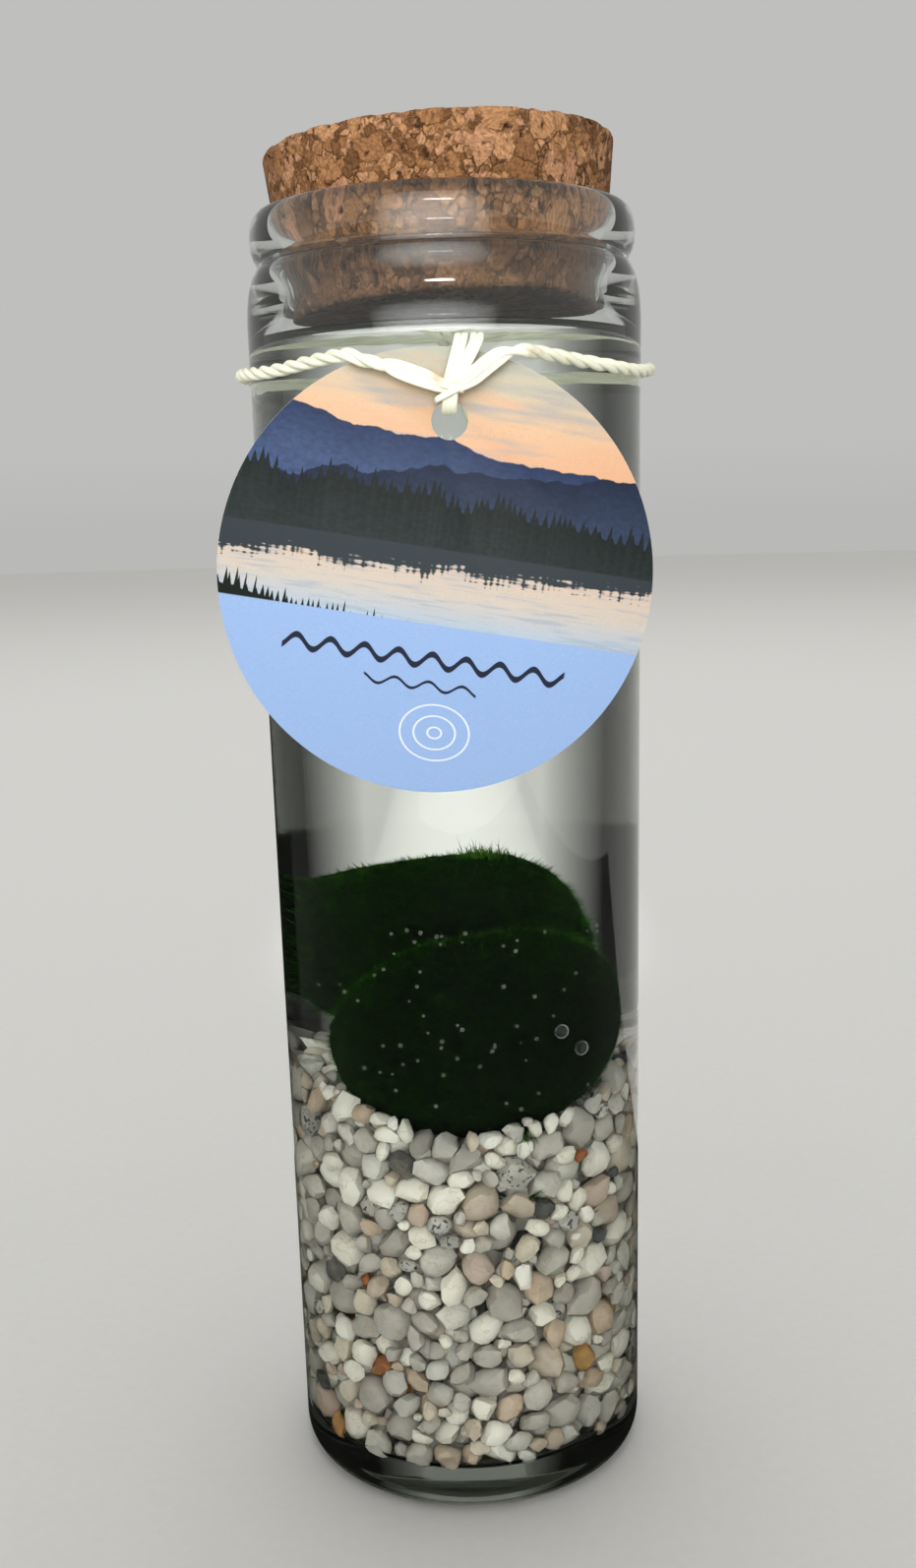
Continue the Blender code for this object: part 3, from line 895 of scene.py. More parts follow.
def moss_material():
    """Green algae under water, without gloss: near black where threads crowd, by painted shade low in each
    thread, and fresh green at the outer tips, by painted light.
    """
    values = {
        "Roughness": 0.75,
        "Specular IOR Level": 0.0,
        "Subsurface Weight": 0.6,
        "Subsurface Radius": (0.4, 1.0, 0.2),
        "Subsurface Scale": 0.2 * MM,
    }
    made, tree, shader = new_material("marimo_algae", values)
    tone = add_node(tree, "Attribute", attribute_name="tone", output="Fac")
    along = add_node(tree, "Attribute", attribute_name="along", output="Fac")
    hues = [(0.0, "#0e230a"), (0.45, "#1c4410"), (0.7, "#43801f"), (1.0, "#7fb03c")]
    hue = add_node(tree, "ValToRGB", [tone], hues)
    # Little light reaches the lower half of a thread
    depth = add_node(tree, "MapRange", [along, 0.45, 1.0, 0.04, 1.0])
    shaded = add_node(tree, "Mix", [1.0, hue, depth], **MULTIPLIED)
    tree.links.new(shaded, shader.inputs["Base Color"])
    return made


def moss_core_material():
    """The felt under the threads: packed algae, its dark green painted darker still as the shade under the
    threads, and mottled.
    """
    made, tree, shader = new_material("marimo_felt", {"Roughness": 0.95, "Specular IOR Level": 0.0})
    place = add_node(tree, "TexCoord", output="Object")
    # Tufts of about 1.2 mm
    tufts = add_node(tree, "TexNoise", {"Vector": place, "Scale": 1 / (1.2 * MM), "Detail": 3.0})
    # Near black: the felt's own green with painted shade from the threads over it
    hue = add_node(tree, "ValToRGB", [tufts], [(0.3, "#040a03"), (0.7, "#0e1f08")])
    tree.links.new(hue, shader.inputs["Base Color"])
    bump = add_node(tree, "Bump", {"Height": tufts, "Distance": 0.4 * MM})
    tree.links.new(bump, shader.inputs["Normal"])
    return made


class MARIMO_OT_moss(bpy.types.Operator):
    """Grows the two moss balls: a felt core and fine threads each"""

    bl_idname = "marimo.moss"
    bl_label = "Moss balls"

    def execute(self, context):
        settings = context.scene.marimo_moss
        rng = np.random.default_rng(settings.seed)
        algae = moss_material()
        felt = moss_core_material()
        for which, ball, other in (("front", FRONT, None), ("back", BACK, FRONT)):
            node = "moss_ball_" + which
            core = moss_core(ball, settings.fringe)
            finish_piece(core, node + "_felt", [node], felt)
            hairs = moss_hairs(node + "_threads", rng, ball, settings, other)
            finish_piece(hairs, node + "_threads", [node], algae)
        loose = loose_threads("moss_loose_threads", rng, settings)
        finish_piece(loose, "moss_loose_threads", ["moss_ball_front"], algae)
        return {"FINISHED"}


# Cork stopper


def cork_material():
    """Pressed cork: torn shards of bark, large and small, glued and ground smooth, with dark pores."""
    made, tree, shader = new_material("pressed_cork", {"Roughness": 0.85, "Specular IOR Level": 0.2})
    place = add_node(tree, "TexCoord", output="Object")
    pore = add_node(tree, "Attribute", attribute_name="pore", output="Fac")
    # The shards' edges are torn: their pattern is pulled about by 0.7 mm each way
    tear = add_node(tree, "TexNoise", {"Vector": place, "Scale": 1 / (1.1 * MM), "Detail": 3.0}, output="Color")
    torn = add_node(tree, "VectorMath", [tear, (1.4 * MM,) * 3, place], operation="MULTIPLY_ADD")
    # Large shards of about 3.4 mm with crumbs of about 1.3 mm pressed between them
    colours, joints = [], []
    for width in (3.4, 1.3):
        values = {"Vector": torn, "Scale": 1 / (width * MM)}
        colours.append(add_node(tree, "TexVoronoi", values, output="Color"))
        edge = add_node(tree, "TexVoronoi", values, feature="DISTANCE_TO_EDGE")
        joints.append(add_node(tree, "Math", [edge, width], operation="MULTIPLY"))
    chance = add_node(tree, "SeparateColor", [colours[0]])
    crumbs = add_node(tree, "Math", [chance, 0.45], operation="LESS_THAN")
    own = add_node(tree, "Mix", [crumbs, *colours], **LAID_OVER)
    random = add_node(tree, "SeparateColor", [own]).node.outputs
    joint = add_node(tree, "Mix", [crumbs, *joints])
    hues = [(0.0, "#62432a"), (0.25, "#7f5839"), (0.6, "#966b46"), (0.85, "#a97e59"), (1.0, "#a3765a")]
    hue = add_node(tree, "ValToRGB", [random["Green"]], hues)
    # Each shard has its bark's growth lines, 0.25 mm apart, in its own direction
    angle = add_node(tree, "Math", [random["Blue"], 2 * math.pi], operation="MULTIPLY")
    spun = add_node(tree, "VectorRotate", {"Vector": place, "Axis": (0.5, 0.6, 0.62), "Angle": angle})
    fine = (1 / (0.25 * MM), 1 / (0.9 * MM), 1 / (0.45 * MM))
    stretch = add_node(tree, "Mapping", {"Vector": spun, "Scale": fine})
    lines = add_node(tree, "TexNoise", {"Vector": stretch, "Scale": 1.0, "Detail": 4.0})
    streaked = add_node(tree, "MapRange", [lines, 0.32, 0.68, 0.58, 1.32])
    colour = add_node(tree, "Mix", [1.0, hue, streaked], **MULTIPLIED)
    # Dark bark is left in crumbs of about 0.8 mm
    bark = add_node(tree, "TexNoise", {"Vector": torn, "Scale": 1 / (0.8 * MM), "Detail": 3.0})
    dark = add_node(tree, "MapRange", [bark, 0.57, 0.66, 0.0, 0.6])
    colour = add_node(tree, "Mix", [dark, colour, linear("#4b301c")], **LAID_OVER)
    # Joints are open and dark only here and there
    gaping = add_node(tree, "TexNoise", {"Vector": place, "Scale": 1 / (2.5 * MM), "Detail": 2.0})
    depth = add_node(tree, "MapRange", [gaping, 0.42, 0.6, 0.25, 0.95])
    groove = add_node(tree, "MapRange", [joint, 0.0, 0.18, 1.0, 0.0])
    seam = add_node(tree, "Math", [groove, depth], operation="MULTIPLY")
    colour = add_node(tree, "Mix", [seam, colour, linear("#38230f")], **LAID_OVER)
    colour = add_node(tree, "Mix", [pore, colour, linear("#38241a")], **LAID_OVER)
    # The cork is darker towards its bottom, over the part inside the neck
    height = add_node(tree, "SeparateXYZ", [place], output="Z")
    low_darkening = add_node(tree, "MapRange", [height, JAR_HEIGHT - 8 * MM, JAR_HEIGHT - 0.5 * MM, 0.42, 1.0])
    colour = add_node(tree, "Mix", [1.0, colour, low_darkening], **MULTIPLIED)
    tree.links.new(colour, shader.inputs["Base Color"])
    relief = add_node(tree, "Math", [lines, seam], operation="SUBTRACT")
    bump = add_node(tree, "Bump", {"Height": relief, "Strength": 0.7, "Distance": 0.2 * MM})
    tree.links.new(bump, shader.inputs["Normal"])
    return made


class MARIMO_OT_cork(bpy.types.Operator):
    """Grinds the tapered cork, with chipped edges and pores in its face"""

    bl_idname = "marimo.cork"
    bl_label = "Cork stopper"

    def execute(self, context):
        settings = context.scene.marimo_cork
        cone = {"radius1": CORK_LOW_RADIUS, "radius2": CORK_TOP_RADIUS, "depth": CORK_LENGTH}
        cork = add_primitive(bpy.ops.mesh.primitive_cone_add, vertices=160, **cone)
        apply_modifier(cork, "BEVEL", width=0.0006, segments=3, limit_method="ANGLE")
        apply_modifier(cork, "REMESH", mode="VOXEL", voxel_size=settings.mesh_step)
        points = mesh_points(cork)
        normals = np.empty(len(points) * 3, np.float32)
        cork.data.vertices.foreach_get("normal", normals)
        normals = normals.reshape(-1, 3)
        pores, chips = [], []
        for point in points:
            at = Vector(point) / settings.pore
            # Pores are deep and chips shallow
            pores.append(noise.noise(at + Vector((5, 2, 8))))
            chips.append(noise.noise(at * 0.5 + Vector((1, 9, 4))))
        # Only the peaks of the pores' pattern are pores
        pores = np.clip((np.array(pores) - 0.46) / 0.12, 0, 1)
        chips = np.clip(np.array(chips) * 1.6, 0, 1)
        move_points(cork, points - normals * (PORE_DEPTH * pores + CHIP_DEPTH * chips)[:, None])
        set_attribute(cork, "pore", pores)
        select_only(cork)
        bpy.ops.object.shade_smooth()
        to_lip = Matrix.Translation((0, 0, JAR_HEIGHT))
        tilt = Matrix.Rotation(math.radians(-CORK_TILT), 4, "Y")
        cork.matrix_world = to_lip @ tilt @ Matrix.Translation((0, 0, CORK_LOW + CORK_LENGTH / 2 - JAR_HEIGHT))
        finish_piece(cork, "cork_pressed", ["cork_stopper"], cork_material())
        return {"FINISHED"}


# Hang tag


def tag_place():
    """The tag's own place: its disc is upright, leans back on the glass and faces the front."""
    lean = Matrix.Rotation(math.radians(TAG_LEAN), 4, "X")
    back_at_foot = -(JAR_RADIUS + CORD_GAP)
    centre_y = back_at_foot - TAG_THICKNESS / 2 - TAG_RADIUS * math.sin(math.radians(TAG_LEAN))
    return Matrix.Translation((TAG_X, centre_y, TAG_Z)) @ lean


def skyline(tree, across, base, slope, rough, coarse, seed, peak, peak_width):
    """Height of a hill's line over the print, with pointed treetops on it."""
    along = add_node(tree, "CombineXYZ", {"X": across, "Y": seed})
    values = {"Vector": along, "Scale": 1 / coarse, "Detail": 5.0}
    hills = add_node(tree, "TexNoise", values, noise_dimensions="2D")
    line = add_node(tree, "Math", [hills, rough, base - rough / 2], operation="MULTIPLY_ADD")
    line = add_node(tree, "Math", [across, slope, line], operation="MULTIPLY_ADD")
    if peak:
        spot = add_node(tree, "Math", [across, 1 / peak_width, seed * 10], operation="MULTIPLY_ADD")
        top = add_node(tree, "TexVoronoi", {"W": spot, "Scale": 1.0}, voronoi_dimensions="1D").node.outputs
        height = add_node(tree, "SeparateColor", [top["Color"]])
        pointed = add_node(tree, "MapRange", [top["Distance"], 0.0, 0.5, 1.0, 0.0])
        grown = add_node(tree, "Math", [height, 0.7, 0.3], operation="MULTIPLY_ADD")
        tree_top = add_node(tree, "Math", [pointed, grown], operation="MULTIPLY")
        line = add_node(tree, "Math", [tree_top, peak, line], operation="MULTIPLY_ADD")
    return line


def print_material(settings):
    """Card with a silk varnish, printed with mountains and pines by a lake at dusk, over plain blue."""
    made, tree, shader = new_material("printed_card", {"Roughness": 0.42, "Specular IOR Level": 0.4})
    place = add_node(tree, "TexCoord", output="Object")
    # The print in millimetres about the tag's middle, turned as the tag hangs
    values = {"Vector": place, "Location": (-TAG_X / MM, 0, -TAG_Z / MM), "Scale": (1 / MM,) * 3}
    centred = add_node(tree, "Mapping", values)
    turn = (0, math.radians(-settings.print_turn), 0)
    sheet = add_node(tree, "Mapping", {"Vector": centred, "Rotation": turn})
    axes = add_node(tree, "SeparateXYZ", [sheet]).node.outputs
    across, up = axes["X"], axes["Z"]

    def streaks(long, thin):
        """Level streaks, this long and thin in millimetres."""
        flat = add_node(tree, "Mapping", {"Vector": sheet, "Scale": (1 / long, 1, 1 / thin)})
        return add_node(tree, "TexNoise", {"Vector": flat, "Scale": 1.0, "Detail": 4.0})

    def faded(stops, low, high):
        """Colours that follow one another from a low height to a high one."""
        return add_node(tree, "ValToRGB", [add_node(tree, "MapRange", [up, low, high])], stops)

    def under(line, softness=0.08):
        """Where the print lies under a line: 1 there and 0 over it."""
        depth = add_node(tree, "Math", [line, up], operation="SUBTRACT")
        return add_node(tree, "MapRange", [depth, -softness, softness])

    # Dusk sky with thin cloud, grey-blue and rosy: each cloud's length and height, and how it thickens
    picture = faded([(0.0, "#c69270"), (0.45, "#c5a180"), (0.8, "#b0a68f"), (1.0, "#a0a091")], 14.0, 30.0)
    for size, clear, thick, most, colour in (
        ((16, 2.2), 0.5, 0.68, 0.75, "#8d9091"),
        ((9, 1.2), 0.55, 0.72, 0.6, "#c99775"),
    ):
        cloud = add_node(tree, "MapRange", [streaks(*size), clear, thick, 0.0, most])
        picture = add_node(tree, "Mix", [cloud, picture, linear(colour)], **LAID_OVER)
    # Mountains and woods, far to near: each fades into haze below its line
    mottle = add_node(tree, "MapRange", [streaks(0.8, 0.5), 0.3, 0.7, 0.8, 1.18])
    for *hills, colour, haze, depth in settings.layers():
        pines = skyline(tree, across, *hills)
        below = add_node(tree, "Math", [pines, up], operation="SUBTRACT")
        fall = add_node(tree, "MapRange", [below, 0.0, depth])
        ground = add_node(tree, "Mix", [fall, linear(colour), linear(haze)], **LAID_OVER)
        ground = add_node(tree, "Mix", [1.0, ground, mottle], **MULTIPLIED)
        picture = add_node(tree, "Mix", [under(pines), picture, ground], **LAID_OVER)
    # Lake: the sky's light on it, with the pines' broken reflection under the shore
    shore = settings.shore
    lake = faded([(0.0, "#9baab9"), (0.4, "#b5ab9f"), (1.0, "#bca491")], settings.field_top, shore)
    gleam = add_node(tree, "MapRange", [streaks(7, 0.5), 0.52, 0.68, 0.0, 0.6])
    lake = add_node(tree, "Mix", [gleam, lake, linear("#8795a4")], **LAID_OVER)
    # What the water mirrors is shorter than the wood, and broken by ripples
    ripple = add_node(tree, "Math", [streaks(5, 0.5), 0.5], operation="SUBTRACT")
    drop = add_node(tree, "Math", [ripple, 5.0, shore * 1.45], operation="MULTIPLY_ADD")
    mirrored = add_node(tree, "Math", [pines, -0.45, drop], operation="MULTIPLY_ADD")
    lake = add_node(tree, "Mix", [under(mirrored, 0.3), linear("#2a3237"), lake], **LAID_OVER)
    picture = add_node(tree, "Mix", [under(shore), picture, lake], **LAID_OVER)
    # Dark reeds on the near bank
    bank = skyline(tree, across, *settings.bank)
    picture = add_node(tree, "Mix", [under(bank), picture, linear("#171d18")], **LAID_OVER)
    # Plain blue field with two waves
    picture = add_node(tree, "Mix", [under(settings.field_top), picture, linear("#859fc6")], **LAID_OVER)
    swing = add_node(tree, "Math", [across, 1.3], operation="MULTIPLY")
    swing = add_node(tree, "Math", [swing], operation="SINE")
    aside = add_node(tree, "Math", [across], operation="ABSOLUTE")
    for height, swell, thick, reach in settings.waves():
        wave = add_node(tree, "Math", [swing, swell, height], operation="MULTIPLY_ADD")
        away = add_node(tree, "Math", [up, wave], operation="SUBTRACT")
        away = add_node(tree, "Math", [away], operation="ABSOLUTE")
        line = add_node(tree, "MapRange", [away, thick, thick + 0.1, 1.0, 0.0])
        ends = add_node(tree, "MapRange", [aside, reach, reach + 0.2, 1.0, 0.0])
        ink = add_node(tree, "Math", [line, ends], operation="MULTIPLY")
        picture = add_node(tree, "Mix", [ink, picture, linear("#1d2334")], **LAID_OVER)
    # Rings on water, a little flattened, two millimetres apart, with a last one at 5 mm
    ring_x, ring_z = settings.rings
    beside = add_node(tree, "Math", [across, ring_x], operation="SUBTRACT")
    above = add_node(tree, "Math", [up, ring_z], operation="SUBTRACT")
    above = add_node(tree, "Math", [above, 1.25], operation="MULTIPLY")
    squares = [add_node(tree, "Math", [way, 2.0], operation="POWER") for way in (beside, above)]
    out = add_node(tree, "Math", squares, operation="ADD")
    out = add_node(tree, "Math", [out], operation="SQRT")
    band = add_node(tree, "Math", [out, 1.0], operation="ADD")
    band = add_node(tree, "Math", [band, 1.0], operation="PINGPONG")
    line = add_node(tree, "MapRange", [band, 0.1, 0.18, 1.0, 0.0])
    last = add_node(tree, "MapRange", [out, 5.4, 5.5, 1.0, 0.0])
    ink = add_node(tree, "Math", [line, last], operation="MULTIPLY")
    picture = add_node(tree, "Mix", [ink, picture, linear("#c8ccd4")], **LAID_OVER)
    # The press's grain, about 0.15 mm
    grain = add_node(tree, "TexNoise", {"Vector": place, "Scale": 1 / (0.15 * MM), "Detail": 1.0})
    grain = add_node(tree, "MapRange", [grain, 0.3, 0.7, 0.93, 1.05])
    picture = add_node(tree, "Mix", [1.0, picture, grain], **MULTIPLIED)
    tree.links.new(picture, shader.inputs["Base Color"])
    return made


def card_material():
    """Uncoated white card on the back and the edge, with fine paper fibre."""
    made, tree, shader = new_material("white_card", {"Roughness": 0.8, "Base Color": linear("#f1efe8")})
    place = add_node(tree, "TexCoord", output="Object")
    fibre = add_node(tree, "TexNoise", {"Vector": place, "Scale": 1 / (0.3 * MM), "Detail": 3.0})
    bump = add_node(tree, "Bump", {"Height": fibre, "Distance": 0.03 * MM})
    tree.links.new(bump, shader.inputs["Normal"])
    return made


class MARIMO_OT_tag(bpy.types.Operator):
    """Cuts the round card tag, punches its hole and prints its front"""

    bl_idname = "marimo.tag"
    bl_label = "Hang tag"

    def execute(self, context):
        settings = context.scene.marimo_tag
        upright = Matrix.Rotation(math.radians(90), 4, "X")
        disc = bpy.ops.mesh.primitive_cylinder_add
        tag = add_primitive(disc, vertices=256, radius=TAG_RADIUS, depth=TAG_THICKNESS)
        tag.matrix_world = tag_place() @ upright
        turn = math.radians(TAG_HOLE_TURN)
        hole_at = (TAG_HOLE_REACH * math.sin(turn), 0, TAG_HOLE_REACH * math.cos(turn))
        punch = add_primitive(disc, vertices=64, radius=TAG_HOLE_RADIUS, depth=4 * TAG_THICKNESS)
        punch.matrix_world = tag_place() @ Matrix.Translation(hole_at) @ upright
        apply_modifier(tag, "BOOLEAN", operation="DIFFERENCE", object=punch, solver="EXACT")
        bpy.data.objects.remove(punch)
        apply_modifier(tag, "BEVEL", width=0.00006, segments=2, limit_method="ANGLE")
        select_only(tag)
        bpy.ops.object.shade_smooth_by_angle(angle=math.radians(35))
        finish_piece(tag, "tag_card", ["hang_tag"], card_material())
        tag.data.materials.append(print_material(settings))
        for face in tag.data.polygons:
            face.material_index = 1 if face.normal.y < -0.9 else 0
        return {"FINISHED"}


# Cord


def smooth_path(route, closed, step):
    """Points at even steps along a smooth curve through the route."""
    route = [Vector(point) for point in route]
    size = len(route)
    dense = []
    spans = size if closed else size - 1
    for index in range(spans):
        if closed:
            before, start, end, after = (route[(index + k) % size] for k in (-1, 0, 1, 2))
        else:
            before, start, end, after = (route[min(max(index + k, 0), size - 1)] for k in (-1, 0, 1, 2))
        for part in range(12):
            t = part / 12
            bend = (2 * before - 5 * start + 4 * end - after) * t * t
            twist = (3 * start - before - 3 * end + after) * t**3
            dense.append(start + ((end - before) * t + bend + twist) / 2)
    dense.append(route[0] if closed else route[-1])
    dense = np.array(dense)
    lengths = np.concatenate(([0], np.cumsum(np.linalg.norm(np.diff(dense, axis=0), axis=1))))
    count = max(2, int(round(lengths[-1] / step)))
    targets = np.linspace(0, lengths[-1], count + 1)
    if closed:
        targets = targets[:-1]
    return np.column_stack([np.interp(targets, lengths, dense[:, axis]) for axis in range(3)]), lengths[-1]


def sweep(points, sides, widths, thicks, faces_up, closed):
    """A tube of oval section along the points; faces_up gives each point's flat side."""
    count = len(points)
    if closed:
        tangents = np.roll(points, -1, axis=0) - np.roll(points, 1, axis=0)
    else:
        tangents = np.gradient(points, axis=0)
    tangents = unit(tangents)
    ups = unit(faces_up - (faces_up * tangents).sum(1)[:, None] * tangents)
    rights = np.cross(tangents, ups)
    angles = 2 * math.pi * np.arange(sides) / sides
    rings = (
        points[:, None]
        + rights[:, None] * (np.cos(angles)[None, :, None] * widths[:, None, None])
        + ups[:, None] * (np.sin(angles)[None, :, None] * thicks[:, None, None])
    )
    faces = []
    spans = count if closed else count - 1
    for ring in range(spans):
        after = (ring + 1) % count
        for side in range(sides):
            along = (side + 1) % sides
            a, b = ring * sides + side, ring * sides + along
            c, d = after * sides + along, after * sides + side
            faces += [(a, c, b), (a, d, c)]
    if not closed:
        for side in range(1, sides - 1):
            faces.append((0, side, side + 1))
            last = (count - 1) * sides
            faces.append((last, last + side + 1, last + side))
    return rings.reshape(-1, 3), np.array(faces)


def cord_route():
    """The whole loop in metres: the listed front, then even steps round the back of the jar."""
    route = [Vector(point) * MM for point in CORD_FRONT]
    right_z = route[-1].z
    left_z = route[0].z
    steps = 14
    for step in range(1, steps):
        angle = math.pi * step / steps
        level = right_z + (left_z - right_z) * step / steps
        route.append(Vector((CORD_LOOP_RADIUS * math.cos(angle), CORD_LOOP_RADIUS * math.sin(angle), level)))
    return route


def cord_material():
    """Twisted paper and cotton cord, off-white, with fibres along each strand and a few brown stains."""
    made, tree, shader = new_material("twisted_cord", {"Roughness": 0.7, "Specular IOR Level": 0.3})
    place = add_node(tree, "TexCoord", output="Object")
    # Fibres of about 0.15 mm, and stains of about 6 mm
    fibre = add_node(tree, "TexNoise", {"Vector": place, "Scale": 1 / (0.15 * MM), "Detail": 3.0})
    stain = add_node(tree, "TexNoise", {"Vector": place, "Scale": 1 / (6 * MM), "Detail": 2.0})
    hue = add_node(tree, "ValToRGB", [stain], [(0.0, "#e9ead6"), (0.62, "#e6e6d0"), (0.75, "#b79b76")])
    tree.links.new(hue, shader.inputs["Base Color"])
    bump = add_node(tree, "Bump", {"Height": fibre, "Strength": 0.6, "Distance": 0.1 * MM})
    tree.links.new(bump, shader.inputs["Normal"])
    return made


def ring_route(centre, across, deep, lean):
    """An oval ring of cord about an upright axis, leaning to one side, as a route of eight points."""
    route = []
    for step in range(8):
        angle = 2 * math.pi * step / 8
        x = across * math.cos(angle)
        route.append(Vector(centre) + Vector((x, deep * math.sin(angle), x * math.tan(lean))))
    return route


def ribbon(route, half_width, half_thick, across, closed=True):
    """A flat strand along the route; across is the way that its width lies."""
    path, _ = smooth_path(route, closed, 0.0004)
    count = len(path)
    widths, thicks = np.full(count, half_thick), np.full(count, half_width)
    return sweep(path, 8, widths, thicks, np.tile(across, (count, 1)), closed)


def tag_hitch():
    """The flat strands that tie the tag: two doubled loops over its top edge, and wraps round the knot."""
    flats = []
    for spread in (-0.42, 0.42):
        for side in (-0.46, 0.46):
            route = []
            for x, y, z in CORD_BIGHT:
                # The loops part on their way up from the knot
                rise = min(1.0, max(0.0, (z - 175.0) / 6.0))
                route.append(Vector((x + spread * (0.6 + 1.9 * rise) + side * (0.75 + 0.25 * rise), y, z)) * MM)
            flats.append(ribbon(route, 0.48 * MM, 0.26 * MM, (1.0, 0.0, 0.0)))
    for height, lean in ((-0.6, 24.0), (0.25, -14.0), (0.9, 10.0)):
        centre = (0.45 * MM, -34.2 * MM, (175.7 + height) * MM)
        wrap = ring_route(centre, 1.8 * MM, 1.05 * MM, math.radians(lean))
        flats.append(ribbon(wrap, 0.46 * MM, 0.27 * MM, (0, 0, 1)))
    return flats


def back_knot():
    """The overhand knot that closes the loop behind the jar, with its two short tails."""
    flats = []
    y = (JAR_RADIUS + CORD_GAP) / MM
    level = CORD_LEVEL / MM
    for x in (-0.55, 0.55):
        route = []
        for step in range(8):
            angle = 2 * math.pi * step / 8
            lean = 0.5 * math.sin(angle)
            turn = Vector((x + lean, y + 1.5 + 1.15 * math.cos(angle), level + 1.3 * math.sin(angle)))
            route.append(turn * MM)
        flats.append(ribbon(route, 0.5 * MM, 0.35 * MM, (1.0, 0.0, 0.0)))
    for side in (-1, 1):
        tail = [(0.3, 1.9, 0.3), (1.2, 2.1, -1.2), (1.9, 1.5, -3.2), (2.3, 1.0, -5.6), (2.9, 0.8, -7.4)]
        route = [Vector((side * x, y + out, level + z)) * MM for x, out, z in tail]
        flats.append(ribbon(route, 0.65 * MM, 0.5 * MM, (1.0, 0.0, 0.2), closed=False))
    return flats


class MARIMO_OT_cord(bpy.types.Operator):
    """Twists the cord round the jar's neck and hitches it through the tag's hole"""

    bl_idname = "marimo.cord"
    bl_label = "Cord"

    def execute(self, context):
        settings = context.scene.marimo_cord
        path, length = smooth_path(cord_route(), True, 0.0005)
        count = len(path)
        tangents = unit(np.roll(path, -1, axis=0) - np.roll(path, 1, axis=0))
        upward = np.tile([0.0, 0.0, 1.0], (count, 1))
        upward = unit(upward - (upward * tangents).sum(1)[:, None] * tangents)
        outward = np.cross(tangents, upward)
        turns = round(length / settings.twist_length)
        # Across the tag the strands lie flat and side by side, and crowd together in the knot
        aside = path[:, 0] - KNOT_X
        opening = np.exp(-((aside / OPEN_REACH) ** 8)) * (path[:, 1] < 0)
        crowd = 1 - 0.5 * np.exp(-((aside / KNOT_REACH) ** 2))
        widths, thicks = STRAND_HALF[:, None] + (FLAT_STRAND_HALF - STRAND_HALF)[:, None] * opening
        angle = 2 * math.pi * turns * np.arange(count) / count
        strands = settings.strands
        shapes = []
        for strand in range(strands):
            phase = angle + 2 * math.pi * strand / strands
            flat_off = (strand - (strands - 1) / 2) * STRAND_SPACING * crowd
            twist = (1 - opening) * STRAND_OFF_AXIS
            vertical = twist * np.cos(phase) + opening * flat_off
            sideways = twist * np.sin(phase) + opening * 0.12 * MM * np.cos(phase * 0.5)
            middle = path + upward * vertical[:, None] + outward * sideways[:, None]
            shapes.append(sweep(middle, 10, thicks, widths, upward, True))
        cord = mesh_object("neck_cord", *joined(shapes + tag_hitch() + back_knot()))
        finish_piece(cord, "neck_cord", ["tag_cord"], cord_material())
        return {"FINISHED"}


# Stage


def photograph_camera(settings):
    """The camera at the photograph's viewing angle, fitted to the jar's outline."""
    data = bpy.data.cameras.new("camera")
    data.sensor_width = 36.0
    data.lens = settings.lens
    data.shift_y = settings.shift_up
    data.clip_start = 0.01
    data.clip_end = 20.0
    camera = bpy.data.objects.new("camera", data)
    bpy.context.scene.collection.objects.link(camera)
    turn = (
        Matrix.Rotation(math.radians(0.08), 4, "Z")
        @ Matrix.Rotation(settings.pitch, 4, "X")
        @ Matrix.Rotation(settings.roll, 4, "Y")
        @ Matrix.Rotation(math.radians(90), 4, "X")
    )
    camera.matrix_world = Matrix.Translation(settings.camera_place) @ turn
    bpy.context.scene.camera = camera


def soft_light(name, place, aim, width, height, spread, power, receivers):
    """A softbox, brightest in its middle, whose grid keeps its light within the spread, in degrees."""
    data = bpy.data.lights.new(name, "AREA")
    data.shape = "RECTANGLE"
    data.size = width
    data.size_y = height
    data.spread = math.radians(spread)
    data.energy = power
    data.use_nodes = True
    tree = data.node_tree
    cloth = add_node(tree, "NewGeometry", output="Parametric")
    sides = add_node(tree, "SeparateXYZ", [cloth]).node.outputs
    # From the middle to the edge it fades as a parabola does, whose mean over both sides is 4 / 9
    glow = 9 / 4
    for side in ("X", "Y"):
        out = add_node(tree, "Math", [sides[side], 2.0, -1.0], operation="MULTIPLY_ADD")
        loss = add_node(tree, "Math", [out, out], operation="MULTIPLY")
        left = add_node(tree, "Math", [1.0, loss], operation="SUBTRACT")
        glow = add_node(tree, "Math", [glow, left], operation="MULTIPLY")
    tree.links.new(glow, tree.nodes["Emission"].inputs["Strength"])
    light = bpy.data.objects.new(name, data)
    bpy.context.scene.collection.objects.link(light)
    light.visible_camera = False
    light.location = place
    light.rotation_euler = (Vector(aim) - Vector(place)).to_track_quat("-Z", "Y").to_euler()
    light.light_linking.receiver_collection = receivers
    return light


def lit_apart(name, floor, state):
    """A light's receivers: the floor alone, or all but the floor."""
    receivers = bpy.data.collections.new(name)
    receivers.objects.link(floor)
    receivers.collection_objects[0].light_linking.link_state = state
    return receivers


def velvet_material(colour, fades):
    """Dark velvet; one that fades thins out towards the end that is furthest behind the jar."""
    made, tree, shader = new_material("dark_velvet", {"Base Color": linear(colour), "Specular IOR Level": 0.0})
    if fades:
        place = add_node(tree, "TexCoord", output="Object")
        behind = add_node(tree, "SeparateXYZ", [place], output="Y")
        shown = add_node(tree, "MapRange", [behind, *fades, 1.0, 0.0])
        tree.links.new(shown, shader.inputs["Alpha"])
    return made


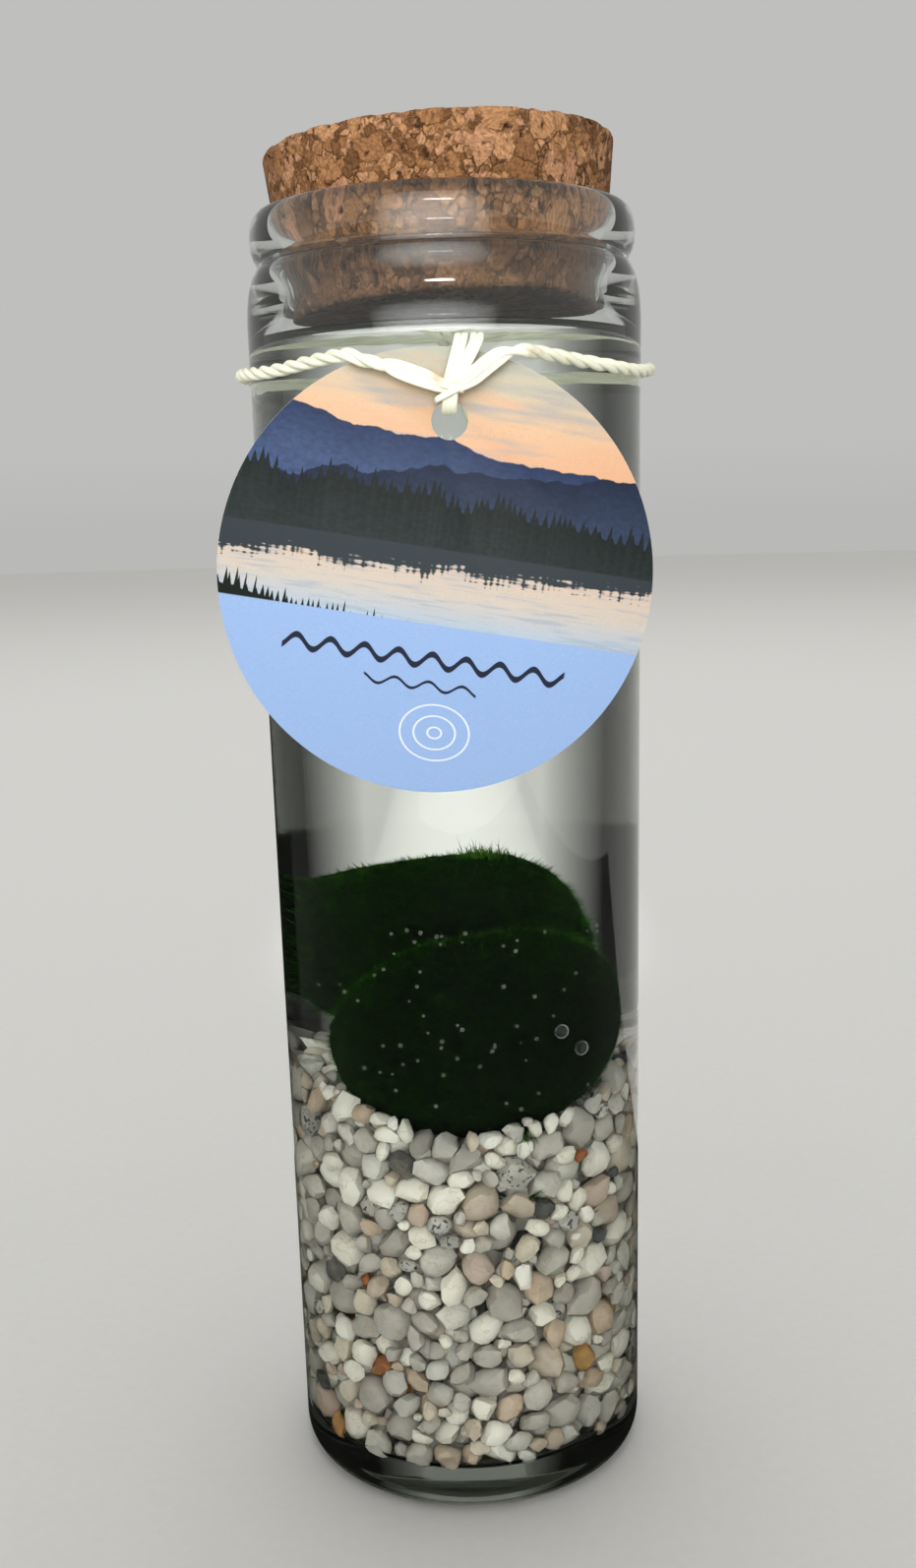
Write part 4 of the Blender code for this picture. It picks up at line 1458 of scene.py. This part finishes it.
def flag(name, place, turn, size, mirrored, seen_through, colour="#202020", fades=None):
    """A dark card beside the set that only the glass meets: what it mirrors, or what shows through it."""
    card = add_primitive(bpy.ops.mesh.primitive_plane_add, size=1.0, location=place, rotation=turn)
    card.scale = (*size, 1.0)
    bpy.ops.object.transform_apply(location=True, rotation=True, scale=True)
    card.name = name
    card.data.materials.append(velvet_material(colour, fades))
    card.visible_camera = False
    card.visible_diffuse = False
    card.visible_shadow = False
    card.visible_volume_scatter = False
    card.visible_glossy = mirrored
    card.visible_transmission = seen_through


def floor_material():
    """A matt pale paper sweep, with fibres drawn as coarse as 2 mm."""
    made, tree, shader = new_material("stage_paper", {"Roughness": 0.9, "Specular IOR Level": 0.1})
    place = add_node(tree, "TexCoord", output="Object")
    grain = add_node(tree, "TexNoise", {"Vector": place, "Scale": 1 / (2 * MM), "Detail": 2.0})
    hue = add_node(tree, "ValToRGB", [grain], [(0.0, "#ecebe8"), (1.0, "#f2f1ee")])
    tree.links.new(hue, shader.inputs["Base Color"])
    return made


class MARIMO_OT_stage(bpy.types.Operator):
    """Sets the pale floor, the soft lights, the surrounding light and the camera"""

    bl_idname = "marimo.stage"
    bl_label = "Stage"

    def execute(self, context):
        settings = context.scene.marimo_stage
        disc = {"vertices": 96, "radius": 6.0, "fill_type": "NGON", "location": (0, 0, FLOOR_LEVEL)}
        floor = add_primitive(bpy.ops.mesh.primitive_circle_add, **disc)
        bpy.ops.object.transform_apply(location=True)
        floor.name = "floor"
        floor.data.materials.append(floor_material())
        world = bpy.data.worlds.new("studio")
        context.scene.world = world
        world.use_nodes = True
        tree = world.node_tree
        place = add_node(tree, "TexCoord", output="Generated")
        height = add_node(tree, "SeparateXYZ", [place], output="Z")
        sky = add_node(tree, "ValToRGB", [height], [(0.0, "#b9b9b7"), (0.04, "#bfbfbd")])
        backdrop = tree.nodes["Background"]
        tree.links.new(sky, backdrop.inputs["Color"])
        backdrop.inputs["Strength"].default_value = settings.surround
        on_object = lit_apart("lit_by_key", floor, "EXCLUDE")
        on_floor = lit_apart("lit_by_floor_light", floor, "INCLUDE")
        key = soft_light(
            "key_light", (-0.10, -0.95, 0.46), (0, 0, 0.12), 1.5, 1.2, 180, settings.key_power, on_object
        )
        key.visible_glossy = False
        catch = settings.catch_power
        soft_light("catch_light", (-0.02, -0.70, 0.42), (0, 0, 0.19), 0.22, 0.02, 180, catch, on_object)
        soft_light("floor_light", (0.0, 0.9, 2.2), (0, 0.9, 0), 2.4, 2.4, 180, settings.floor_power, on_floor)
        patch = settings.patch_power
        soft_light("patch_light", (0.0, 0.62, 1.2), (0, 0.62, 0), 0.03, 0.7, 7, patch, on_floor)
        upright = math.radians(90)
        for side, (name, far) in zip((-CARD_X, CARD_X), CARD_FAR.items()):
            middle = (side, (far + CARD_NEAR) / 2, CARD_HEIGHT / 2)
            size = (CARD_HEIGHT, far - CARD_NEAR)
            flag(name, middle, (0, upright, 0), size, False, True, fades=(0.45 * far, far))
        # The glass mirrors a dark card low down on its left too
        flag("flag_left_low", (-CARD_X, 0.12, 0.08), (0, upright, 0), (0.16, 0.60), True, False)
        on_the_floor = FLOOR_LEVEL + CARD_LIFT
        flag("flag_front", (0, -0.23, on_the_floor), (0, 0, 0), (1.0, 0.70), True, False)
        flag("flag_foot", (0, 0, on_the_floor - 0.01 * MM), (0, 0, 0), (0.14, 0.10), False, True, "#4c4d48")
        photograph_camera(settings)
        cycles = context.scene.cycles
        cycles.blur_glossy = 0.0
        cycles.max_bounces = 24
        cycles.transmission_bounces = 20
        cycles.glossy_bounces = 8
        cycles.diffuse_bounces = 4
        cycles.transparent_max_bounces = 16
        cycles.use_denoising = True
        context.scene.view_settings.view_transform = "Standard"
        return {"FINISHED"}


# Settings and panel


class MarimoJarSettings(bpy.types.PropertyGroup):
    turn_steps: IntProperty(name="Turning steps", description="Steps round the jar", default=160, min=24)


class MarimoWaterSettings(bpy.types.PropertyGroup):
    bubbles: IntProperty(name="Bubbles", description="Number of small bubbles", default=60, min=0)
    seed: IntProperty(name="Seed", description="Another number gives other bubbles", default=4)


class MarimoGravelSettings(bpy.types.PropertyGroup):
    smallest: FloatProperty(name="Smallest pebble", description="Width", default=0.0016, unit="LENGTH")
    mean: FloatProperty(name="Usual pebble", description="Width", default=0.0034, unit="LENGTH")
    largest: FloatProperty(name="Largest pebble", description="Width", default=0.0068, unit="LENGTH")
    fill: FloatProperty(
        name="Fill", description="Share of the bed that is stone", default=0.62, subtype="FACTOR"
    )
    settle_steps: IntProperty(name="Settling", description="Steps that push pebbles apart", default=80)
    seed: IntProperty(name="Seed", description="Another number gives another bed", default=12)


class MarimoMossSettings(bpy.types.PropertyGroup):
    hairs: IntProperty(name="Threads", description="Threads on each ball", default=19500, min=100)
    length: FloatProperty(name="Thread length", description="Length", default=0.0024, unit="LENGTH")
    width: FloatProperty(name="Thread width", description="Width", default=0.00013, unit="LENGTH")
    fringe: FloatProperty(name="Fringe", description="Depth of loose tips", default=0.0014, unit="LENGTH")
    seed: IntProperty(name="Seed", description="Another number gives other threads", default=3)


class MarimoCorkSettings(bpy.types.PropertyGroup):
    pore: FloatProperty(name="Pore", description="Usual width", default=0.001, unit="LENGTH")
    mesh_step: FloatProperty(name="Mesh step", description="Face width", default=0.00033, unit="LENGTH")


class MarimoTagSettings(bpy.types.PropertyGroup):
    print_turn: FloatProperty(name="Print turn", description="How far the tag hangs askew", default=10.0)
    shore: FloatProperty(name="Shore", description="Height of the shore, mm", default=4.0)
    field_top: FloatProperty(name="Field top", description="Top of the plain field, mm", default=-6.4)
    rings: FloatVectorProperty(name="Rings", description="Place, mm", size=2, default=(3.0, -21.5))
    # Height, slope, roughness, coarseness, seed, treetops' height and width
    bank = (-9.0, -0.13, 2.0, 8.0, 5.5, 2.8, 0.7)

    def layers(self):
        """Far to near: as the bank's, then colour, haze and the depth at which the haze comes, in mm."""
        return (
            (18.0, -0.08, 6.0, 15.0, 1.3, 0.0, 1.0, "#182848", "#304264", 6.0),
            (14.0, 0.10, 6.0, 10.0, 4.1, 0.0, 1.0, "#121d32", "#26334a", 7.0),
            (10.0, -0.06, 6.0, 9.0, 7.7, 2.8, 0.9, "#141b1a", "#232c2b", 9.0),
        )

    def waves(self):
        """Height, swell, half thickness and reach to each side, in millimetres."""
        return ((-11.4, 0.9, 0.4, 20.0), (-15.0, 0.6, 0.16, 8.0))


class MarimoCordSettings(bpy.types.PropertyGroup):
    strands: IntProperty(name="Strands", description="Strands in the cord", default=3, min=2)
    twist_length: FloatProperty(name="Twist", description="Length of a turn", default=0.011, unit="LENGTH")


class MarimoStageSettings(bpy.types.PropertyGroup):
    camera_place: FloatVectorProperty(
        name="Camera", description="Where the camera is", default=(0.0, -0.2532, 0.1588), subtype="TRANSLATION"
    )
    pitch: FloatProperty(
        name="Pitch", description="Up or down turn", default=math.radians(-14.67), subtype="ANGLE"
    )
    roll: FloatProperty(
        name="Roll", description="Sideways tilt", default=math.radians(1.54), subtype="ANGLE"
    )
    lens: FloatProperty(name="Lens", description="Focal length in millimetres", default=35.57)
    shift_up: FloatProperty(name="Shift", description="Upward lens shift", default=0.0897)
    surround: FloatProperty(name="Surround", description="Strength of the light all round", default=1.0)
    key_power: FloatProperty(name="Key light", description="Power", default=15.0, unit="POWER")
    catch_power: FloatProperty(name="Catch light", description="Power", default=0.4, unit="POWER")
    floor_power: FloatProperty(name="Floor light", description="Power", default=14.0, unit="POWER")
    patch_power: FloatProperty(name="Patch light", description="Power", default=0.75, unit="POWER")


class MARIMO_PT_panel(bpy.types.Panel):
    """Lists the jar's pieces with their settings"""

    bl_idname = "MARIMO_PT_panel"
    bl_label = "Marimo jar"
    bl_space_type = "VIEW_3D"
    bl_region_type = "UI"
    bl_category = "Marimo jar"

    def draw(self, context):
        for operator, group in PIECES:
            box = self.layout.box()
            box.operator(operator.bl_idname)
            settings = getattr(context.scene, group)
            for name in settings.__annotations__:
                box.prop(settings, name)


SETTINGS = {
    "marimo_jar": MarimoJarSettings,
    "marimo_water": MarimoWaterSettings,
    "marimo_gravel": MarimoGravelSettings,
    "marimo_moss": MarimoMossSettings,
    "marimo_cork": MarimoCorkSettings,
    "marimo_tag": MarimoTagSettings,
    "marimo_cord": MarimoCordSettings,
    "marimo_stage": MarimoStageSettings,
}

PIECES = (
    (MARIMO_OT_stage, "marimo_stage"),
    (MARIMO_OT_cord, "marimo_cord"),
    (MARIMO_OT_jar, "marimo_jar"),
    (MARIMO_OT_water, "marimo_water"),
    (MARIMO_OT_gravel, "marimo_gravel"),
    (MARIMO_OT_moss, "marimo_moss"),
    (MARIMO_OT_cork, "marimo_cork"),
    (MARIMO_OT_tag, "marimo_tag"),
)


def register():
    for name, group in SETTINGS.items():
        bpy.utils.register_class(group)
        setattr(bpy.types.Scene, name, PointerProperty(type=group))
    for operator, _ in PIECES:
        bpy.utils.register_class(operator)
    bpy.utils.register_class(MARIMO_PT_panel)


def unregister():
    bpy.utils.unregister_class(MARIMO_PT_panel)
    for operator, _ in reversed(PIECES):
        bpy.utils.unregister_class(operator)
    for name, group in SETTINGS.items():
        delattr(bpy.types.Scene, name)
        bpy.utils.unregister_class(group)


def main():
    register()
    bpy.ops.marimo.stage()
    bpy.ops.marimo.cord()
    bpy.ops.marimo.jar()
    bpy.ops.marimo.water()
    bpy.ops.marimo.gravel()
    bpy.ops.marimo.moss()
    bpy.ops.marimo.cork()
    bpy.ops.marimo.tag()


if __name__ == "__main__":
    main()
